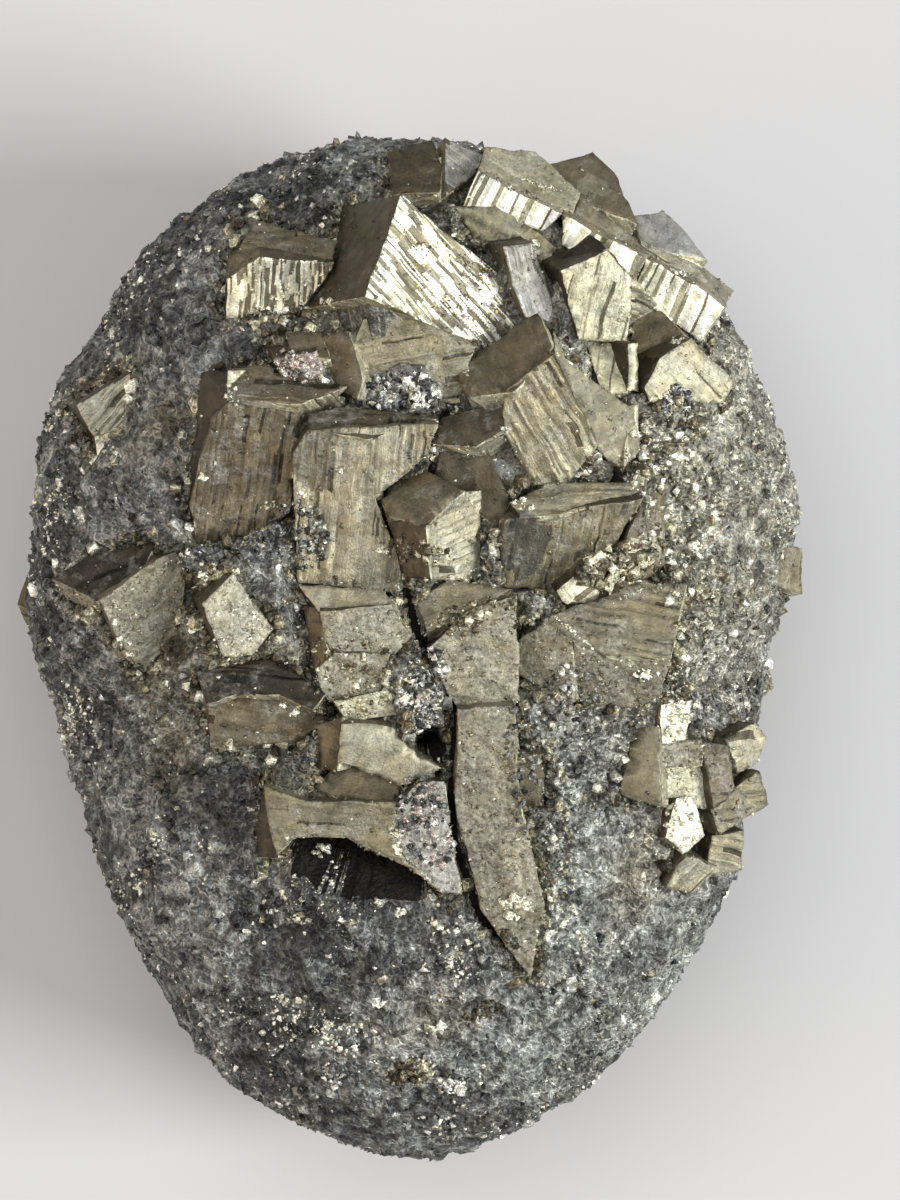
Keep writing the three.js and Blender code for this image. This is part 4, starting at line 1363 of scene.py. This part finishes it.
def add_floor():
    """The plain surface that the nodule lies on."""
    half = FLOOR_SIZE / 2 * MM
    mesh = bpy.data.meshes.new("floor")
    corners = [(-half, -half, 0), (half, -half, 0), (half, half, 0), (-half, half, 0)]
    mesh.from_pydata(corners, [], [(0, 1, 2, 3)])
    mesh.materials.append(floor_material())
    floor = bpy.data.objects.new("floor", mesh)
    bpy.context.scene.collection.objects.link(floor)


def add_camera():
    """Straight above, with the nodule a little left of the middle of the view and below it."""
    camera = bpy.data.cameras.new("camera")
    camera.sensor_width = 36
    camera.lens = FOCAL_LENGTH
    made = bpy.data.objects.new("camera", camera)
    made.location = [place * MM for place in CAMERA_PLACE]
    camera.clip_start = 0.01
    bpy.context.scene.collection.objects.link(made)
    bpy.context.scene.camera = made


# ---- The nodule ----

CRYSTAL_NODES = [name for name in sorted(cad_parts) if name != "matrix"]


def joined_crystals():
    """The CAD's crystals as one tree."""
    parts = [read(name) for name in CRYSTAL_NODES]
    starts = np.cumsum([0] + [len(points) for points, _ in parts])
    triangles = [triangles + start for (_, triangles), start in zip(parts, starts)]
    return tree_of(np.vstack([points for points, _ in parts]), np.vstack(triangles))


def add_skin(skin, finish):
    """The matrix's skin as two pieces, an upper and a lower one."""
    tones = matrix_tones(skin.spots, skin.nearness)
    tones = shaded(tones, 1 + 0.5 * (skin.lots[skin.triangles[:, 0], 1] - 0.5))
    # Painted shade: the skin is darker where it lies close against the crystals, in the gaps between them.
    tones = shaded(tones, 1 - 0.45 * np.clip(2 * skin.nearness - 0.8, 0, 1))
    upper = skin.spots[:, 2] > skin.middle[2] + SPLIT_HEIGHT
    for name, half in [("matrix_skin", upper), ("matrix_underside", ~upper)]:
        used, triangles = np.unique(skin.triangles[half], return_inverse=True)
        piece(
            name, skin.points[used], triangles.reshape(-1, 3), finish, "matrix", ["matrix"],
            tint=with_alpha(tones[half]),
            polish=RNG.uniform(0.35, 0.65, half.sum()) * ~painted_shade_places(skin.spots[half]),
        )


def strew_grains(skin, finish, name, shape, chances, count, sizes, mix, sunk, tilt=None):
    """Strews small crystals over the skin, sunk in it by a share of their size, as one piece."""
    at, chosen = scattered(skin.points, skin.triangles, chances * ~painted_shade_places(skin.spots), count)
    scale = sized(sizes, count)
    tint, polish = mixed(mix, matrix_tones(at, skin.nearness[chosen]))
    way = skin.outwards[chosen]
    at = at + way * (scale * RNG.uniform(*sunk, count))[:, None]
    at[:, 2] = np.maximum(at[:, 2], CLEARANCE * scale)
    turns = None if tilt is None else facing(way, tilt)
    points, triangles, tints, _, polish = strewn(shape, at, scale, tint, polish, turns)
    piece(name, points, triangles, finish, "matrix", tint=tints, polish=polish)


def add_grains(skin, finish):
    """Strews grains and small crystals over the skin: in drifts, on the flanks, in bright clumps whose white
    and cream are painted glints, and beside the large crystals."""
    height = skin.spots[:, 2]
    patchy = np.clip(0.55 + rugged(skin.spots, 3, seed=51), 0.1, 1) ** 2
    coarse = skin.shown * patchy * np.clip(0.15 + 1.5 * skin.outwards[:, 2], 0.15, 1) * (height > 0.5)
    low = skin.shown & ~skin.high & (height > 0.3)
    clumped = coarse * np.clip(0.25 + 1.2 * rugged(skin.spots, 4.5, seed=52), 0.03, 1) ** 2
    beside = skin.shown * np.clip(skin.nearness * 1.5 - 0.3, 0, 1)
    # Each one's name and shape, where it lies, how many, their sizes and mix, how far they stand out of the
    # skin, as a share of their size, and how far they tilt where they aren't turned at random.
    for name, shape, chances, count, *rest in [
        ("matrix_grains", SHARD, skin.high * patchy, 9000, (0.08, 0.26), "matrix", (-0.6, 0.0)),
        ("matrix_coarse_grains", BLOCK, coarse, 5000, (0.1, 0.45), "matrix", (-0.7, 0.0)),
        ("matrix_side_grains", SHARD, low * patchy, 1500, (0.08, 0.2), "matrix", (-0.6, 0.0)),
        # The sparks' white and cream tones are painted glints.
        ("matrix_sparks", BLOCK, clumped, 3200, (0.06, 0.22), "bright", (-0.5, 0.1), 0.5),
        ("contact_grains", BLOCK, beside, 5000, (0.08, 0.5), "contact", (-0.4, 0.3), 0.6),
    ]:
        strew_grains(skin, finish, name, shape, chances, count, *rest)


def add_druses(skin, crystal_tree, finish):
    """Strews the patches of small crystals over whatever lies uppermost there, as one piece."""
    skin_tree = tree_of(skin.points, skin.triangles)
    rows = []
    for *ellipse, mix, count, sizes in PATCHES:
        above = placed(*ellipse, count)
        down = np.broadcast_to((0.0, 0.0, -1.0), above.shape)
        fall = np.minimum(hits(skin_tree, above, down)[0], hits(crystal_tree, above, down)[0])
        at = above - fall[:, None] * (0, 0, 1)
        scale = sized(sizes, count)
        rows.append((at, scale, *mixed(mix, matrix_tones(at, np.zeros(count)))))
    points, triangles, tints, _, polish = strewn(BLOCK, *(np.concatenate(row) for row in zip(*rows)))
    piece("druses", points, triangles, finish, "matrix", tint=tints, polish=polish)


def add_crystals(skin, finish):
    """Every CAD node's crystals as a piece: gives the corners, crusts and tints of all their triangles."""
    rows = []
    for name in CRYSTAL_NODES:
        crystals = Crystals(name, skin.depth_of)
        points, made = crystals.worn(), crystals.made()
        triangles, crust = made.pop("triangles"), made.pop("crust")
        piece(name + "_faces", points, triangles, finish, "crystal", [name], **made)
        rows.append((points[triangles], crust, made["tint"][:, :3]))
    return [np.concatenate(row) for row in zip(*rows)]


def add_crust(corners, crust, tint, finish):
    """Strews grains over the crystals' facets, thickest on the granular ones, as one piece."""
    triangles = np.arange(3 * len(corners)).reshape(-1, 3)
    at, chosen = scattered(corners.reshape(-1, 3), triangles, crust, CRUST_GRAINS)
    scale = sized((0.04, 0.18), CRUST_GRAINS)
    tint = tint[chosen] * RNG.uniform(0.7, 1.5, (CRUST_GRAINS, 1))
    # Painted glints: a few of the grains are white.
    tint = np.where(RNG.random((CRUST_GRAINS, 1)) > DULL_SHARE, np.array(TONES["white"]), tint)
    polish = RNG.uniform(0.3, 1, CRUST_GRAINS)
    points, triangles, tints, streaks, polish = strewn(SHARD, at, scale, tint, polish)
    piece("crystal_grains", points, triangles, finish, "crystal", tint=tints, polish=polish, streak=streaks)


def add_nodule():
    """The whole nodule: its skin, the grains on it, the crystals and the grains on them."""
    crystal_finish, matrix_finish = crystal_material(), matrix_material()
    crystal_tree = joined_crystals()
    skin = Skin(tree_of(*read("matrix")), crystal_tree)
    add_skin(skin, matrix_finish)
    add_grains(skin, matrix_finish)
    add_druses(skin, crystal_tree, matrix_finish)
    add_crust(*add_crystals(skin, crystal_finish), crystal_finish)


add_nodule()
add_camera()
add_surroundings()
add_floor()
add_light("window", -10, 35, 1.5, 0.6, 23, (1.0, 0.995, 0.97))
add_light("ceiling", 120, 72, 1.5, 1.0, 9, (1.0, 1.0, 1.0))
add_light("wall", 190, 25, 1.5, 1.2, 9, (1.0, 0.74, 0.53))
